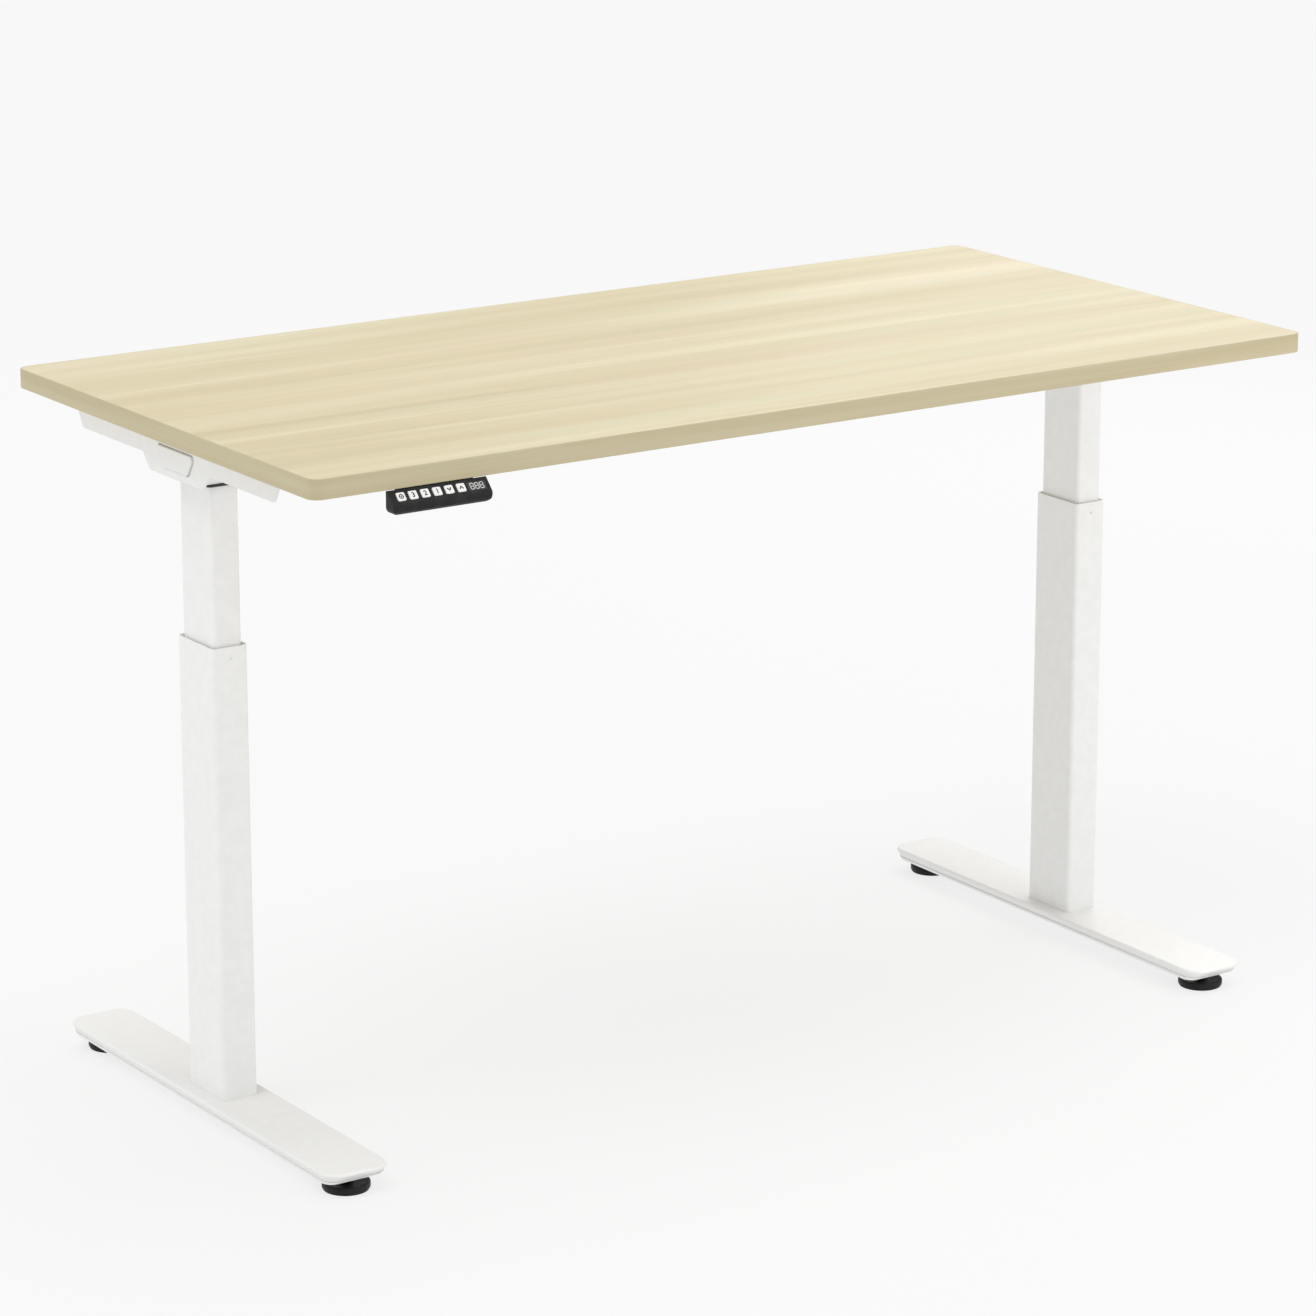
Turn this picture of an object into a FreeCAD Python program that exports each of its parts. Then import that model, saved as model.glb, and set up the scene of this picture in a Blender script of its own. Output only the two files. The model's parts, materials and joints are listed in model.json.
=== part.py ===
import FreeCAD, Part
import math
import os
from FreeCAD import Vector

# Two-leg electric standing desk, in millimetres, +Z up.
# The helpers work about the middle of the desktop, with the floor at z = 0. save() then moves every piece
# back by half of what the keypad stands out in front, so that the origin is the middle of the footprint.

# ---- driving dimensions -------------------------------------------------------------------------------
DESK_LENGTH = 1500.0
DESK_DEPTH = 750.0
DESK_THICK = 25.0
DESK_TOP = 912.0             # height of the top surface as modelled, near the middle of the travel
DESK_CORNER = 16.0           # plan radius of the four corners
BAND_THICK = 2.0             # edge banding round the board
BAND_ARRIS = 1.2

LEG_SPREAD = 1350.0          # between the two columns' centres
LEG_SETBACK = 10.0           # columns stand this far behind the middle of the desktop
OUTER_X, OUTER_Y = 50.0, 90.0
INNER_X, INNER_Y = 40.0, 80.0
TUBE_WALL = 2.0
TUBE_CORNER = 6.0
OUTER_TOP = 625.0
INNER_BOTTOM = 247.0

FOOT_LENGTH, FOOT_WIDTH = 690.0, 90.0
FOOT_TOP, FOOT_BOTTOM = 35.5, 19.5
FOOT_LEAN_SIDE, FOOT_LEAN_END = 5.0, 15.0     # how far each side and end draws in towards the bottom
FOOT_CORNER, FOOT_LOW_CORNER = 25.0, 13.0     # plan radii at the top and at the bottom
FOOT_WALL = 3.0
FOOT_ARRIS = 3.2
HEM_HEIGHT, HEM_PROUD = 4.2, 1.4              # the folded edge round the foot's open bottom
PAD_RADIUS = 30.0
PAD_HEIGHT = 11.0
PAD_REACH = 305.0            # pads' distance from the column's centre
STUD_RADIUS = 4.95

ARM_OUT = 720.0              # side arm's outer face, from the middle of the desktop
ARM_HEIGHT = 34.0
ARM_WALL = 2.5
ARM_TOP_HALF, ARM_LOW_HALF = 262.0, 242.0
ARM_FLANGE = 38.0
ARM_LIP = 14.0
ARM_LIP_SHORT = 26.0         # how far the lip stops before the web's end
TROUGH_DEPTH = 54.0          # below the underside
TROUGH_LOW_HALF, TROUGH_TOP_HALF = 45.0, 84.0
HUMP_LOW_HALF = 67.0         # the part of the side arm that covers the trough's end
TROUGH_WALL = 2.5
TROUGH_INNER_END = 300.0     # the two end troughs reach in to here
MIDDLE_HALF = 390.0          # half the length of the middle trough inside them
COLLAR_X, COLLAR_Y, COLLAR_THICK = 50.0, 90.0, 4.0

SPINDLE_RADIUS = 8.0
RUNNING = 0.05               # radial clearance of a running fit
GAP = 0.3                    # between pieces that slide past each other
GEARBOX_X, GEARBOX_Y, GEARBOX_Z = 76.0, 80.0, 45.0
MOTOR_RADIUS, MOTOR_LENGTH = 19.5, 105.0
WHEEL_RADIUS = 15.7
WORM_RADIUS = 5.0
WORM_OFFSET = 21.0           # worm's axis behind the spindle's
HEAD_BOLTS = (11.0, 33.0)    # half spacing, X and Y
BASE_BOLTS = (13.0, 33.0)

KEYPAD_X = -582.3            # middle of the keypad
KEYPAD_LENGTH = 136.5
KEYPAD_PROUD = 14.0          # in front of the desktop
KEYPAD_HANG = 28.0           # below the underside
KEYPAD_TILT = 46.0           # button panel, from the horizontal
BUTTON_PITCH = 16.4
BUTTON_SIZE = 11.4

CONTROL_X, CONTROL_Y = 160.0, 190.0  # middle of the control box
CONTROL_L, CONTROL_W, CONTROL_H = 250.0, 105.0, 38.0

UNDERSIDE = DESK_TOP - DESK_THICK
TROUGH_BOTTOM = UNDERSIDE - TROUGH_DEPTH
INNER_TOP = TROUGH_BOTTOM - COLLAR_THICK
SPINDLE_BOTTOM = INNER_BOTTOM - 2.0
GEARBOX_BOTTOM = TROUGH_BOTTOM + TROUGH_WALL
WHEEL_LOW = GEARBOX_BOTTOM + 15.5
WHEEL_HIGH = WHEEL_LOW + 14.0
WORM_Z = (WHEEL_LOW + WHEEL_HIGH) / 2
BASE_PLATE_TOP = FOOT_TOP + 4.0
FOOT_WAIST = FOOT_TOP - FOOT_ARRIS - 0.5      # widest level, under the rounded top edge
TUBE_FILL_CORNER = TUBE_CORNER - TUBE_WALL    # corner radius inside a tube
FRONT = -DESK_DEPTH / 2
SIDES = {"left": -1, "right": 1}


# ---- shape helpers ------------------------------------------------------------------------------------
def box(x0, x1, y0, y1, z0, z1):
    return Part.makeBox(x1 - x0, y1 - y0, z1 - z0, Vector(x0, y0, z0))


def rod(x, y, z0, z1, radius):
    return Part.makeCylinder(radius, z1 - z0, Vector(x, y, z0))


def rodAlongX(x0, x1, y, z, radius):
    return Part.makeCylinder(radius, x1 - x0, Vector(x0, y, z), Vector(1, 0, 0))


def prism(points, direction):
    corners = [Vector(*p) for p in points]
    return Part.Face(Part.makePolygon(corners + corners[:1])).extrude(Vector(*direction))


def roundedWire(x, y, length_x, length_y, radius, z):
    """A rectangle with round corners, centred on x, y."""
    hx, hy = length_x / 2, length_y / 2
    edges = []
    corners = [(hx, hy, 0), (-hx, hy, 90), (-hx, -hy, 180), (hx, -hy, 270)]
    ends = []
    for cx, cy, start in corners:
        mx = x + cx - math.copysign(radius, cx)
        my = y + cy - math.copysign(radius, cy)
        arc = [Vector(mx + radius * math.cos(math.radians(start + a)),
                      my + radius * math.sin(math.radians(start + a)), z) for a in (0, 45, 90)]
        ends.append(arc)
    for i, arc in enumerate(ends):
        edges.append(Part.Arc(*arc).toShape())
        edges.append(Part.makeLine(arc[2], ends[(i + 1) % 4][0]))
    return Part.Wire(edges)


def roundedBar(x, y, length_x, length_y, radius, z0, z1):
    face = Part.Face(roundedWire(x, y, length_x, length_y, radius, z0))
    return face.extrude(Vector(0, 0, z1 - z0))


def sleeve(x, y, outside, inside, radius, z0, z1):
    """A rectangular sleeve: outside and inside are its (x, y) sizes."""
    inner_radius = max(radius - (outside[0] - inside[0]) / 2, 1.0)
    outer = roundedBar(x, y, outside[0], outside[1], radius, z0, z1)
    return outer.cut(roundedBar(x, y, inside[0], inside[1], inner_radius, z0 - 1, z1 + 1))


def filletEdges(shape, radius, wanted):
    edges = [e for e in shape.Edges if wanted(e.BoundBox)]
    return shape.makeFillet(radius, edges)


def atFour(x, y, half, make):
    """make(x, y) at the four corners of a rectangle."""
    return [make(x + i * half[0], y + j * half[1]) for i in (-1, 1) for j in (-1, 1)]


def panHead(x, y, z, radius, height, up=1):
    """A screw head standing on z, with a cross recess, facing up or down."""
    base = Part.makeCone(radius, radius * 0.72, height, Vector(x, y, z), Vector(0, 0, up))
    top = z + up * height
    low, high = sorted((top - up * height * 0.55, top + up))
    for dx, dy in ((radius * 0.5, 0.5), (0.5, radius * 0.5)):
        base = base.cut(box(x - dx, x + dx, y - dy, y + dy, low, high))
    return base


def socketHead(x, y, z, radius, height, up=1):
    """A socket cap head standing on z, facing up or down."""
    head = Part.makeCylinder(radius, height, Vector(x, y, z), Vector(0, 0, up))
    mouth = z + up * height
    hexagon = [(x + radius * 0.5 * math.cos(math.radians(60 * k)),
                y + radius * 0.5 * math.sin(math.radians(60 * k)), mouth) for k in range(6)]
    return head.cut(prism(hexagon, (0, 0, -up * height * 0.6)))


def save(name, shapes):
    shapes = shapes if isinstance(shapes, list) else [shapes]
    solids = [solid for shape in shapes for solid in shape.Solids]
    shape = solids[0] if len(solids) == 1 else Part.makeCompound(solids)
    shape = shape.copy()
    shape.translate(Vector(0, KEYPAD_PROUD / 2, 0))
    if not shape.isValid():
        print("invalid:", name)
    shape.exportStep(f"parts/{name}.step")


# ---- desktop ------------------------------------------------------------------------------------------
ARM_SCREW_Y = [LEG_SETBACK + offset for offset in (-225, -135, 135, 225)]
TROUGH_SCREWS_X = (-560.0, -330.0, 330.0, 560.0)
TOP_SCREW_RADIUS = 2.0
TOP_SCREW_LENGTH = 16.0


def topScrewPlaces():
    """Where wood screws enter the board: x, y and the underside of the flange that they hold."""
    places = []
    for side in SIDES.values():
        places += [(side * (ARM_OUT - 24), y, UNDERSIDE - ARM_WALL) for y in ARM_SCREW_Y]
    flange_y = TROUGH_TOP_HALF + 9
    for x in TROUGH_SCREWS_X:
        places += [(x, LEG_SETBACK + j * flange_y, UNDERSIDE - 2 * TROUGH_WALL) for j in (-1, 1)]
    return places


def desktop():
    inset = 2 * BAND_THICK
    board = roundedBar(0, 0, DESK_LENGTH - inset, DESK_DEPTH - inset, DESK_CORNER - BAND_THICK,
                       UNDERSIDE, DESK_TOP)
    whole = roundedBar(0, 0, DESK_LENGTH, DESK_DEPTH, DESK_CORNER, UNDERSIDE, DESK_TOP)
    whole = filletEdges(whole, BAND_ARRIS, lambda b: b.ZLength < 1e-6)
    band = whole.cut(board)
    for x, y, _ in topScrewPlaces():
        board = board.cut(rod(x, y, UNDERSIDE - 1, UNDERSIDE + TOP_SCREW_LENGTH, TOP_SCREW_RADIUS + RUNNING))
    for x, y in keypadScrewPlaces():
        board = board.cut(rod(x, y, UNDERSIDE - 1, UNDERSIDE + 11, KEYPAD_SCREW_RADIUS + RUNNING))
    save("desktop_board", board)
    save("edge_band", band)


def topScrews():
    screws = []
    for x, y, low in topScrewPlaces():
        shank = rod(x, y, low, UNDERSIDE + TOP_SCREW_LENGTH - 1.5, TOP_SCREW_RADIUS)
        screws.append(shank.fuse(panHead(x, y, low, 4.2, 2.6, up=-1)))
    save("top_screws", screws)


# ---- side arms and trough -----------------------------------------------------------------------------
ARM_BOLTS = (ARM_OUT - 24, TROUGH_TOP_HALF + 9)       # x from the middle, y from the columns' line
CAP_TOP_HALF, CAP_LOW_HALF = 49.0, 32.0
CAP_TOP, CAP_LOW = UNDERSIDE - 17.0, UNDERSIDE - 43.0
CAP_CORNER = 5.0
CAP_PROUD = 3.0
CAP_GAP = 1.4                # round the cap, in the arm's window


def armWeb(side, x, thick):
    """The web's outline: a long low plate with slanted ends and a trapezoid that covers the trough's end."""
    low = UNDERSIDE - ARM_HEIGHT
    outline = [(ARM_TOP_HALF, UNDERSIDE), (ARM_LOW_HALF, low), (TROUGH_TOP_HALF, low),
               (HUMP_LOW_HALF, TROUGH_BOTTOM)]
    outline += [(-y, z) for y, z in reversed(outline)]
    web = prism([(x, LEG_SETBACK + y, z) for y, z in outline], (-side * thick, 0, 0))

    def isLowerCorner(b):
        return b.XLength > thick * 0.9 and abs(abs(b.YMin - LEG_SETBACK) - ARM_LOW_HALF) < 0.5

    def isTroughCorner(b):
        return b.XLength > thick * 0.9 and abs(b.ZMin - TROUGH_BOTTOM) < 0.5

    web = filletEdges(web, 7.0, isLowerCorner)
    return filletEdges(web, 2.0, isTroughCorner)


def sideArm(name, side):
    outer = side * ARM_OUT
    low = UNDERSIDE - ARM_HEIGHT
    arm = armWeb(side, outer, ARM_WALL)
    flange_in = outer - side * ARM_FLANGE
    x0, x1 = sorted((outer, flange_in))
    top_half = ARM_TOP_HALF - 1.0
    flange = box(x0, x1, LEG_SETBACK - top_half, LEG_SETBACK + top_half, UNDERSIDE - ARM_WALL, UNDERSIDE)
    arm = arm.fuse(flange)
    lip0, lip1 = sorted((outer - side * 0.5, outer - side * ARM_LIP))
    for end in (-1, 1):
        y0, y1 = sorted((LEG_SETBACK + end * (TROUGH_TOP_HALF + 14),
                         LEG_SETBACK + end * (ARM_LOW_HALF - ARM_LIP_SHORT)))
        arm = arm.fuse(box(lip0, lip1, y0, y1, low, low + ARM_WALL))
    arm = arm.removeSplitter()
    arm = filletEdges(arm, 2.0, lambda b: b.YLength > 400 and b.XLength < 1e-6 and b.ZLength < 1e-6
                      and abs(b.XMin - outer) < 0.1 and b.ZMin > UNDERSIDE - 1)
    for y in ARM_SCREW_Y:
        arm = arm.cut(rod(side * (ARM_OUT - 24), y, UNDERSIDE - 5, UNDERSIDE + 1, 2.4))
    for x, y in armBoltPlaces(side):
        arm = arm.cut(rod(x, y, UNDERSIDE - 5, UNDERSIDE + 1, 3.0 + RUNNING))
    arm = arm.cut(capBlock(side, CAP_GAP))
    save(f"{name}_side_arm", arm)


def armBoltPlaces(side):
    return [(side * ARM_BOLTS[0], LEG_SETBACK + j * ARM_BOLTS[1]) for j in (-1, 1)]


def capBlock(side, grow):
    """The end cap from the trough's end plate out through the arm, or with grow its window."""
    outline = [(CAP_TOP_HALF + grow, CAP_TOP + grow), (CAP_LOW_HALF + grow, CAP_LOW - grow)]
    outline += [(-y, z) for y, z in reversed(outline)]
    start = side * (ARM_OUT - ARM_WALL)
    block = prism([(start, LEG_SETBACK + y, z) for y, z in outline], (side * (ARM_WALL + CAP_PROUD), 0, 0))
    return filletEdges(block, CAP_CORNER + grow, lambda b: b.XLength > ARM_WALL)


def endCaps():
    caps = []
    for side in SIDES.values():
        rim = side * (ARM_OUT + CAP_PROUD)
        cap = filletEdges(capBlock(side, 0), 0.8, lambda b: b.XLength < 1e-6 and abs(b.XMin - rim) < 1e-3)
        caps.append(cap)
    save("end_caps", caps)


def troughOutline(inset):
    """Half of the trough's outer outline, moved in by inset, from the bottom up."""
    slope = math.hypot(TROUGH_TOP_HALF - TROUGH_LOW_HALF, TROUGH_DEPTH - ARM_HEIGHT)
    lean = inset * (slope - (TROUGH_TOP_HALF - TROUGH_LOW_HALF)) / (TROUGH_DEPTH - ARM_HEIGHT)
    low = TROUGH_BOTTOM + inset
    bend = UNDERSIDE - ARM_HEIGHT + inset * 0.35
    return [(TROUGH_LOW_HALF - lean, low), (TROUGH_TOP_HALF - inset, bend)]


def trough(x0, x1, inset, wall, top):
    """A folded channel along X with slanted lower sides and a flange along each top edge."""
    outer, inner = troughOutline(inset), troughOutline(inset + wall)
    flange = TROUGH_TOP_HALF + 18.0
    half = outer + [(outer[1][0], top - wall), (flange, top - wall), (flange, top), (inner[1][0], top)]
    half += [inner[1], inner[0]]
    section = half + [(-y, z) for y, z in reversed(half)]
    return prism([(x0, LEG_SETBACK + y, z) for y, z in section], (x1 - x0, 0, 0))


JOINING_BOLTS = [(side * x, y) for side in (-1, 1) for x in (320.0, 370.0) for y in (-30.0, 30.0)]


def troughs():
    end_top = UNDERSIDE - ARM_WALL
    for name, side in SIDES.items():
        x0, x1 = sorted((side * (ARM_OUT - ARM_WALL), side * TROUGH_INNER_END))
        shape = trough(x0, x1, 0, TROUGH_WALL, end_top)
        column = side * LEG_SPREAD / 2
        holes = [rod(column, LEG_SETBACK, TROUGH_BOTTOM - 1, GEARBOX_BOTTOM + 1, 12.0)]
        holes += atFour(column, LEG_SETBACK, HEAD_BOLTS,
                        lambda x, y: rod(x, y, TROUGH_BOTTOM - 1, GEARBOX_BOTTOM + 1, 3.2))
        for hole in holes + flangeHoles() + joiningHoles():
            shape = shape.cut(hole)
        outline = troughOutline(TROUGH_WALL / 2)
        outline.append((outline[1][0], end_top - TROUGH_WALL))
        outline += [(-y, z) for y, z in reversed(outline)]
        end_plate = prism([(side * (ARM_OUT - ARM_WALL), LEG_SETBACK + y, z) for y, z in outline],
                          (-side * TROUGH_WALL, 0, 0))
        shape = shape.fuse(end_plate)
        for x, y in armBoltPlaces(side):
            shape = shape.cut(rod(x, y, end_top - 5, end_top + 1, 3.2))
        save(f"{name}_trough", shape.removeSplitter())
    middle = trough(-MIDDLE_HALF, MIDDLE_HALF, TROUGH_WALL + 0.2, 2.0, end_top + 2.0)
    for hole in flangeHoles() + joiningHoles():
        middle = middle.cut(hole)
    save("middle_trough", middle)


def flangeHoles():
    return [rod(x, y, UNDERSIDE - 12, UNDERSIDE + 1, 2.4) for x, y, _ in topScrewPlaces()]


def joiningHoles():
    return [rod(x, LEG_SETBACK + y, TROUGH_BOTTOM - 1, TROUGH_BOTTOM + 8, 3.1) for x, y in JOINING_BOLTS]


def frameScrews():
    """Bolts that join the troughs to each other and to the side arms."""
    bolts = []
    floor = TROUGH_BOTTOM + TROUGH_WALL + 0.2 + 2.0
    for x, y in JOINING_BOLTS:
        shank = rod(x, LEG_SETBACK + y, TROUGH_BOTTOM - 0.1, floor + 5, 3.0)
        bolts.append(shank.fuse(panHead(x, LEG_SETBACK + y, TROUGH_BOTTOM - 0.1, 5.0, 2.8, up=-1)))
    save("trough_bolts", bolts)
    bolts = []
    under = UNDERSIDE - ARM_WALL - TROUGH_WALL
    for side in SIDES.values():
        for x, y in armBoltPlaces(side):
            bolts.append(rod(x, y, under, UNDERSIDE - GAP, 3.0).fuse(panHead(x, y, under, 5.0, 2.8, up=-1)))
    save("arm_bolts", bolts)


# ---- columns ------------------------------------------------------------------------------------------
GLIDE_UPPER_LENGTH, GLIDE_LOWER_LENGTH = 35.0, 38.0
GLIDE_SUNK = 1.5             # upper glide's top, below the outer tube's top
GUIDE_SCREW_DROP = 15.0      # below the outer tube's top
NUT_LOW, NUT_HIGH = 526.0, 548.0
NUT_TUBE_RADIUS = 14.0
FOOT_BOLT_RADIUS = 4.0


def innerTube(name, x):
    inside = (INNER_X - 2 * TUBE_WALL, INNER_Y - 2 * TUBE_WALL)
    tube = sleeve(x, LEG_SETBACK, (INNER_X, INNER_Y), inside, TUBE_CORNER, INNER_BOTTOM, INNER_TOP)
    head = roundedBar(x, LEG_SETBACK, inside[0] + 1, inside[1] + 1, TUBE_FILL_CORNER + 0.5,
                      INNER_TOP - 6, INNER_TOP)
    tube = tube.fuse(head).removeSplitter()
    tube = tube.cut(rod(x, LEG_SETBACK, INNER_TOP - 7, INNER_TOP + 1, 12.0))
    for hole in atFour(x, LEG_SETBACK, HEAD_BOLTS,
                       lambda hx, hy: rod(hx, hy, INNER_TOP - 7, INNER_TOP + 1, 3.0 + RUNNING)):
        tube = tube.cut(hole)
    save(f"{name}_inner_tube", tube)


def outerTube(name, x):
    inside = (OUTER_X - 2 * TUBE_WALL, OUTER_Y - 2 * TUBE_WALL)
    tube = sleeve(x, LEG_SETBACK, (OUTER_X, OUTER_Y), inside, TUBE_CORNER, FOOT_TOP, OUTER_TOP)
    plate = roundedBar(x, LEG_SETBACK, inside[0] + 1, inside[1] + 1, TUBE_FILL_CORNER + 0.5,
                       FOOT_TOP, BASE_PLATE_TOP)
    tube = tube.fuse(plate).removeSplitter()
    radius = FOOT_BOLT_RADIUS + RUNNING
    for hole in atFour(x, LEG_SETBACK, BASE_BOLTS,
                       lambda hx, hy: rod(hx, hy, FOOT_TOP - 1, BASE_PLATE_TOP + 1, radius)):
        tube = tube.cut(hole)
    front = LEG_SETBACK - OUTER_Y / 2
    screw_z = OUTER_TOP - GUIDE_SCREW_DROP
    tube = tube.cut(Part.makeCylinder(2.0, 6, Vector(x, front - 1, screw_z), Vector(0, 1, 0)))
    save(f"{name}_outer_tube", tube)


def glides():
    bore = (INNER_X + 2 * GAP, INNER_Y + 2 * GAP)
    fill = (OUTER_X - 2 * TUBE_WALL, OUTER_Y - 2 * TUBE_WALL)
    shoe_size = (fill[0] - 2 * GAP, fill[1] - 2 * GAP)
    corner = TUBE_FILL_CORNER + 0.4
    lower = []
    for name, side in SIDES.items():
        x = side * LEG_SPREAD / 2
        upper = sleeve(x, LEG_SETBACK, fill, bore, corner,
                       OUTER_TOP - GLIDE_UPPER_LENGTH, OUTER_TOP - GLIDE_SUNK)
        front = LEG_SETBACK - OUTER_Y / 2
        screw_z = OUTER_TOP - GUIDE_SCREW_DROP
        upper = upper.cut(Part.makeCylinder(1.6, 3.5, Vector(x, front + 1, screw_z), Vector(0, 1, 0)))
        save(f"{name}_upper_glide", upper)
        shoe = sleeve(x, LEG_SETBACK, shoe_size, (INNER_X, INNER_Y), corner,
                      INNER_BOTTOM, INNER_BOTTOM + GLIDE_LOWER_LENGTH)
        toe = sleeve(x, LEG_SETBACK, shoe_size, (INNER_X - 7, INNER_Y - 7), corner,
                     INNER_BOTTOM - 2, INNER_BOTTOM)
        lower.append(shoe.fuse(toe).removeSplitter())
    save("lower_glides", lower)


def collars():
    made = []
    for side in SIDES.values():
        x = side * LEG_SPREAD / 2
        collar = roundedBar(x, LEG_SETBACK, COLLAR_X, COLLAR_Y, TUBE_CORNER, INNER_TOP, TROUGH_BOTTOM)
        collar = collar.cut(rod(x, LEG_SETBACK, INNER_TOP - 1, TROUGH_BOTTOM + 1, 12.0))
        for hole in atFour(x, LEG_SETBACK, HEAD_BOLTS,
                           lambda hx, hy: rod(hx, hy, INNER_TOP - 1, TROUGH_BOTTOM + 1, 3.2)):
            collar = collar.cut(hole)
        made.append(collar)
    save("column_collars", made)


# ---- drive --------------------------------------------------------------------------------------------
def gearbox(name, side):
    x, y = side * LEG_SPREAD / 2, LEG_SETBACK
    half_x = GEARBOX_X / 2
    top = GEARBOX_BOTTOM + GEARBOX_Z
    body = roundedBar(x, y, GEARBOX_X, GEARBOX_Y, 6.0, GEARBOX_BOTTOM, top)
    body = filletEdges(body, 2.0, lambda b: b.ZLength < 1e-6 and b.ZMin > top - 1)
    body = body.cut(rod(x, y, WHEEL_LOW - 1.5, WHEEL_HIGH + 1.5, WHEEL_RADIUS + 1.3))
    body = body.cut(rod(x, y, GEARBOX_BOTTOM - 1, GEARBOX_BOTTOM + 12, 16.0))
    body = body.cut(rod(x, y, GEARBOX_BOTTOM, WHEEL_LOW, SPINDLE_RADIUS + 3))
    body = body.cut(rod(x, y, WHEEL_HIGH, WHEEL_HIGH + 5, SPINDLE_RADIUS + RUNNING))
    motor_end = x - side * half_x
    blind_end = x + side * 24
    x0, x1 = sorted((motor_end - side, blind_end))
    body = body.cut(rodAlongX(x0, x1, y + WORM_OFFSET, WORM_Z, WORM_RADIUS + 1.3))
    for hole in atFour(x, y, HEAD_BOLTS, lambda hx, hy: rod(hx, hy, GEARBOX_BOTTOM - 1, top + 1, 3.2)):
        body = body.cut(hole)
    save(f"{name}_gearbox", body)

    can0, can1 = sorted((motor_end, motor_end - side * MOTOR_LENGTH))
    can = rodAlongX(can0, can1, y + WORM_OFFSET, WORM_Z, MOTOR_RADIUS)
    can = filletEdges(can, 2.5, lambda b: b.XLength < 1e-6)
    shaft0, shaft1 = sorted((motor_end + side, motor_end - side * (MOTOR_LENGTH - 12)))
    can = can.cut(rodAlongX(shaft0, shaft1, y + WORM_OFFSET, WORM_Z, 2.5 + RUNNING))
    save(f"{name}_motor", can)

    worm0, worm1 = sorted((x - side * 14, x + side * 14))
    worm = rodAlongX(worm0, worm1, y + WORM_OFFSET, WORM_Z, WORM_RADIUS)
    shaft0, shaft1 = sorted((x + side * 20, motor_end - side * (MOTOR_LENGTH - 14)))
    worm = worm.fuse(rodAlongX(shaft0, shaft1, y + WORM_OFFSET, WORM_Z, 2.5))
    flat0, flat1 = sorted((x + side * 16, x + side * 21))
    worm = worm.cut(box(flat0, flat1, y + WORM_OFFSET + 1.6, y + WORM_OFFSET + 4, WORM_Z - 4, WORM_Z + 4))
    save(f"{name}_worm_shaft", worm.removeSplitter())


def spindle(name, x):
    y = LEG_SETBACK
    shaft = rod(x, y, SPINDLE_BOTTOM, WHEEL_HIGH + 4.5, SPINDLE_RADIUS)
    shaft = shaft.makeChamfer(1.0, [e for e in shaft.Edges if e.BoundBox.ZLength < 1e-6])
    flat = box(x + SPINDLE_RADIUS - 1.2, x + SPINDLE_RADIUS + 1, y - 9, y + 9, WHEEL_LOW, WHEEL_HIGH + 5)
    save(f"{name}_spindle", shaft.cut(flat))
    wheel = rod(x, y, WHEEL_LOW, WHEEL_HIGH, WHEEL_RADIUS)
    wheel = wheel.makeChamfer(0.8, [e for e in wheel.Edges if e.BoundBox.ZLength < 1e-6])
    save(f"{name}_worm_wheel", wheel.cut(shaft.cut(flat)))


def spindleBearings():
    made = []
    for side in SIDES.values():
        x = side * LEG_SPREAD / 2
        ring = rod(x, LEG_SETBACK, GEARBOX_BOTTOM, GEARBOX_BOTTOM + 12, 16.0)
        bore = rod(x, LEG_SETBACK, GEARBOX_BOTTOM - 1, GEARBOX_BOTTOM + 13, SPINDLE_RADIUS + RUNNING)
        ring = ring.cut(bore)
        groove = rod(x, LEG_SETBACK, GEARBOX_BOTTOM - 1, GEARBOX_BOTTOM + 0.8, 13.2)
        groove = groove.cut(rod(x, LEG_SETBACK, GEARBOX_BOTTOM - 2, GEARBOX_BOTTOM + 2, 10.8))
        made.append(ring.cut(groove))
    save("spindle_bearings", made)


def nutAndTube(name, x):
    y = LEG_SETBACK
    tube = rod(x, y, BASE_PLATE_TOP, NUT_HIGH - 8, NUT_TUBE_RADIUS)
    tube = tube.cut(rod(x, y, BASE_PLATE_TOP - 1, NUT_HIGH, NUT_TUBE_RADIUS - 2.5))
    save(f"{name}_nut_tube", tube)
    nut = rod(x, y, NUT_HIGH - 8, NUT_HIGH, NUT_TUBE_RADIUS + 2)
    nut = nut.makeChamfer(1.0, [e for e in nut.Edges if e.BoundBox.ZMin > NUT_HIGH - 1])
    nut = nut.fuse(rod(x, y, NUT_LOW, NUT_HIGH - 8, NUT_TUBE_RADIUS - 2.5)).removeSplitter()
    nut = nut.cut(rod(x, y, NUT_LOW - 1, NUT_HIGH + 1, SPINDLE_RADIUS + RUNNING))
    save(f"{name}_spindle_nut", nut)


def headBolts():
    top = GEARBOX_BOTTOM + GEARBOX_Z
    bolts = []
    for side in SIDES.values():
        for x, y in atFour(side * LEG_SPREAD / 2, LEG_SETBACK, HEAD_BOLTS, lambda x, y: (x, y)):
            bolts.append(rod(x, y, INNER_TOP - 6, top, 3.0).fuse(socketHead(x, y, top, 4.6, 3.5)))
    save("head_bolts", bolts)


# ---- feet ---------------------------------------------------------------------------------------------
def footOutline(x, z, inset):
    """The foot's plan at height z, which draws in below the waist, moved inward by inset."""
    down = (FOOT_WAIST - z) / (FOOT_WAIST - FOOT_BOTTOM)
    return roundedWire(x, LEG_SETBACK, FOOT_WIDTH - 2 * (FOOT_LEAN_SIDE * down + inset),
                       FOOT_LENGTH - 2 * (FOOT_LEAN_END * down + inset),
                       FOOT_CORNER - (FOOT_CORNER - FOOT_LOW_CORNER) * down - inset, z)


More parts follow.
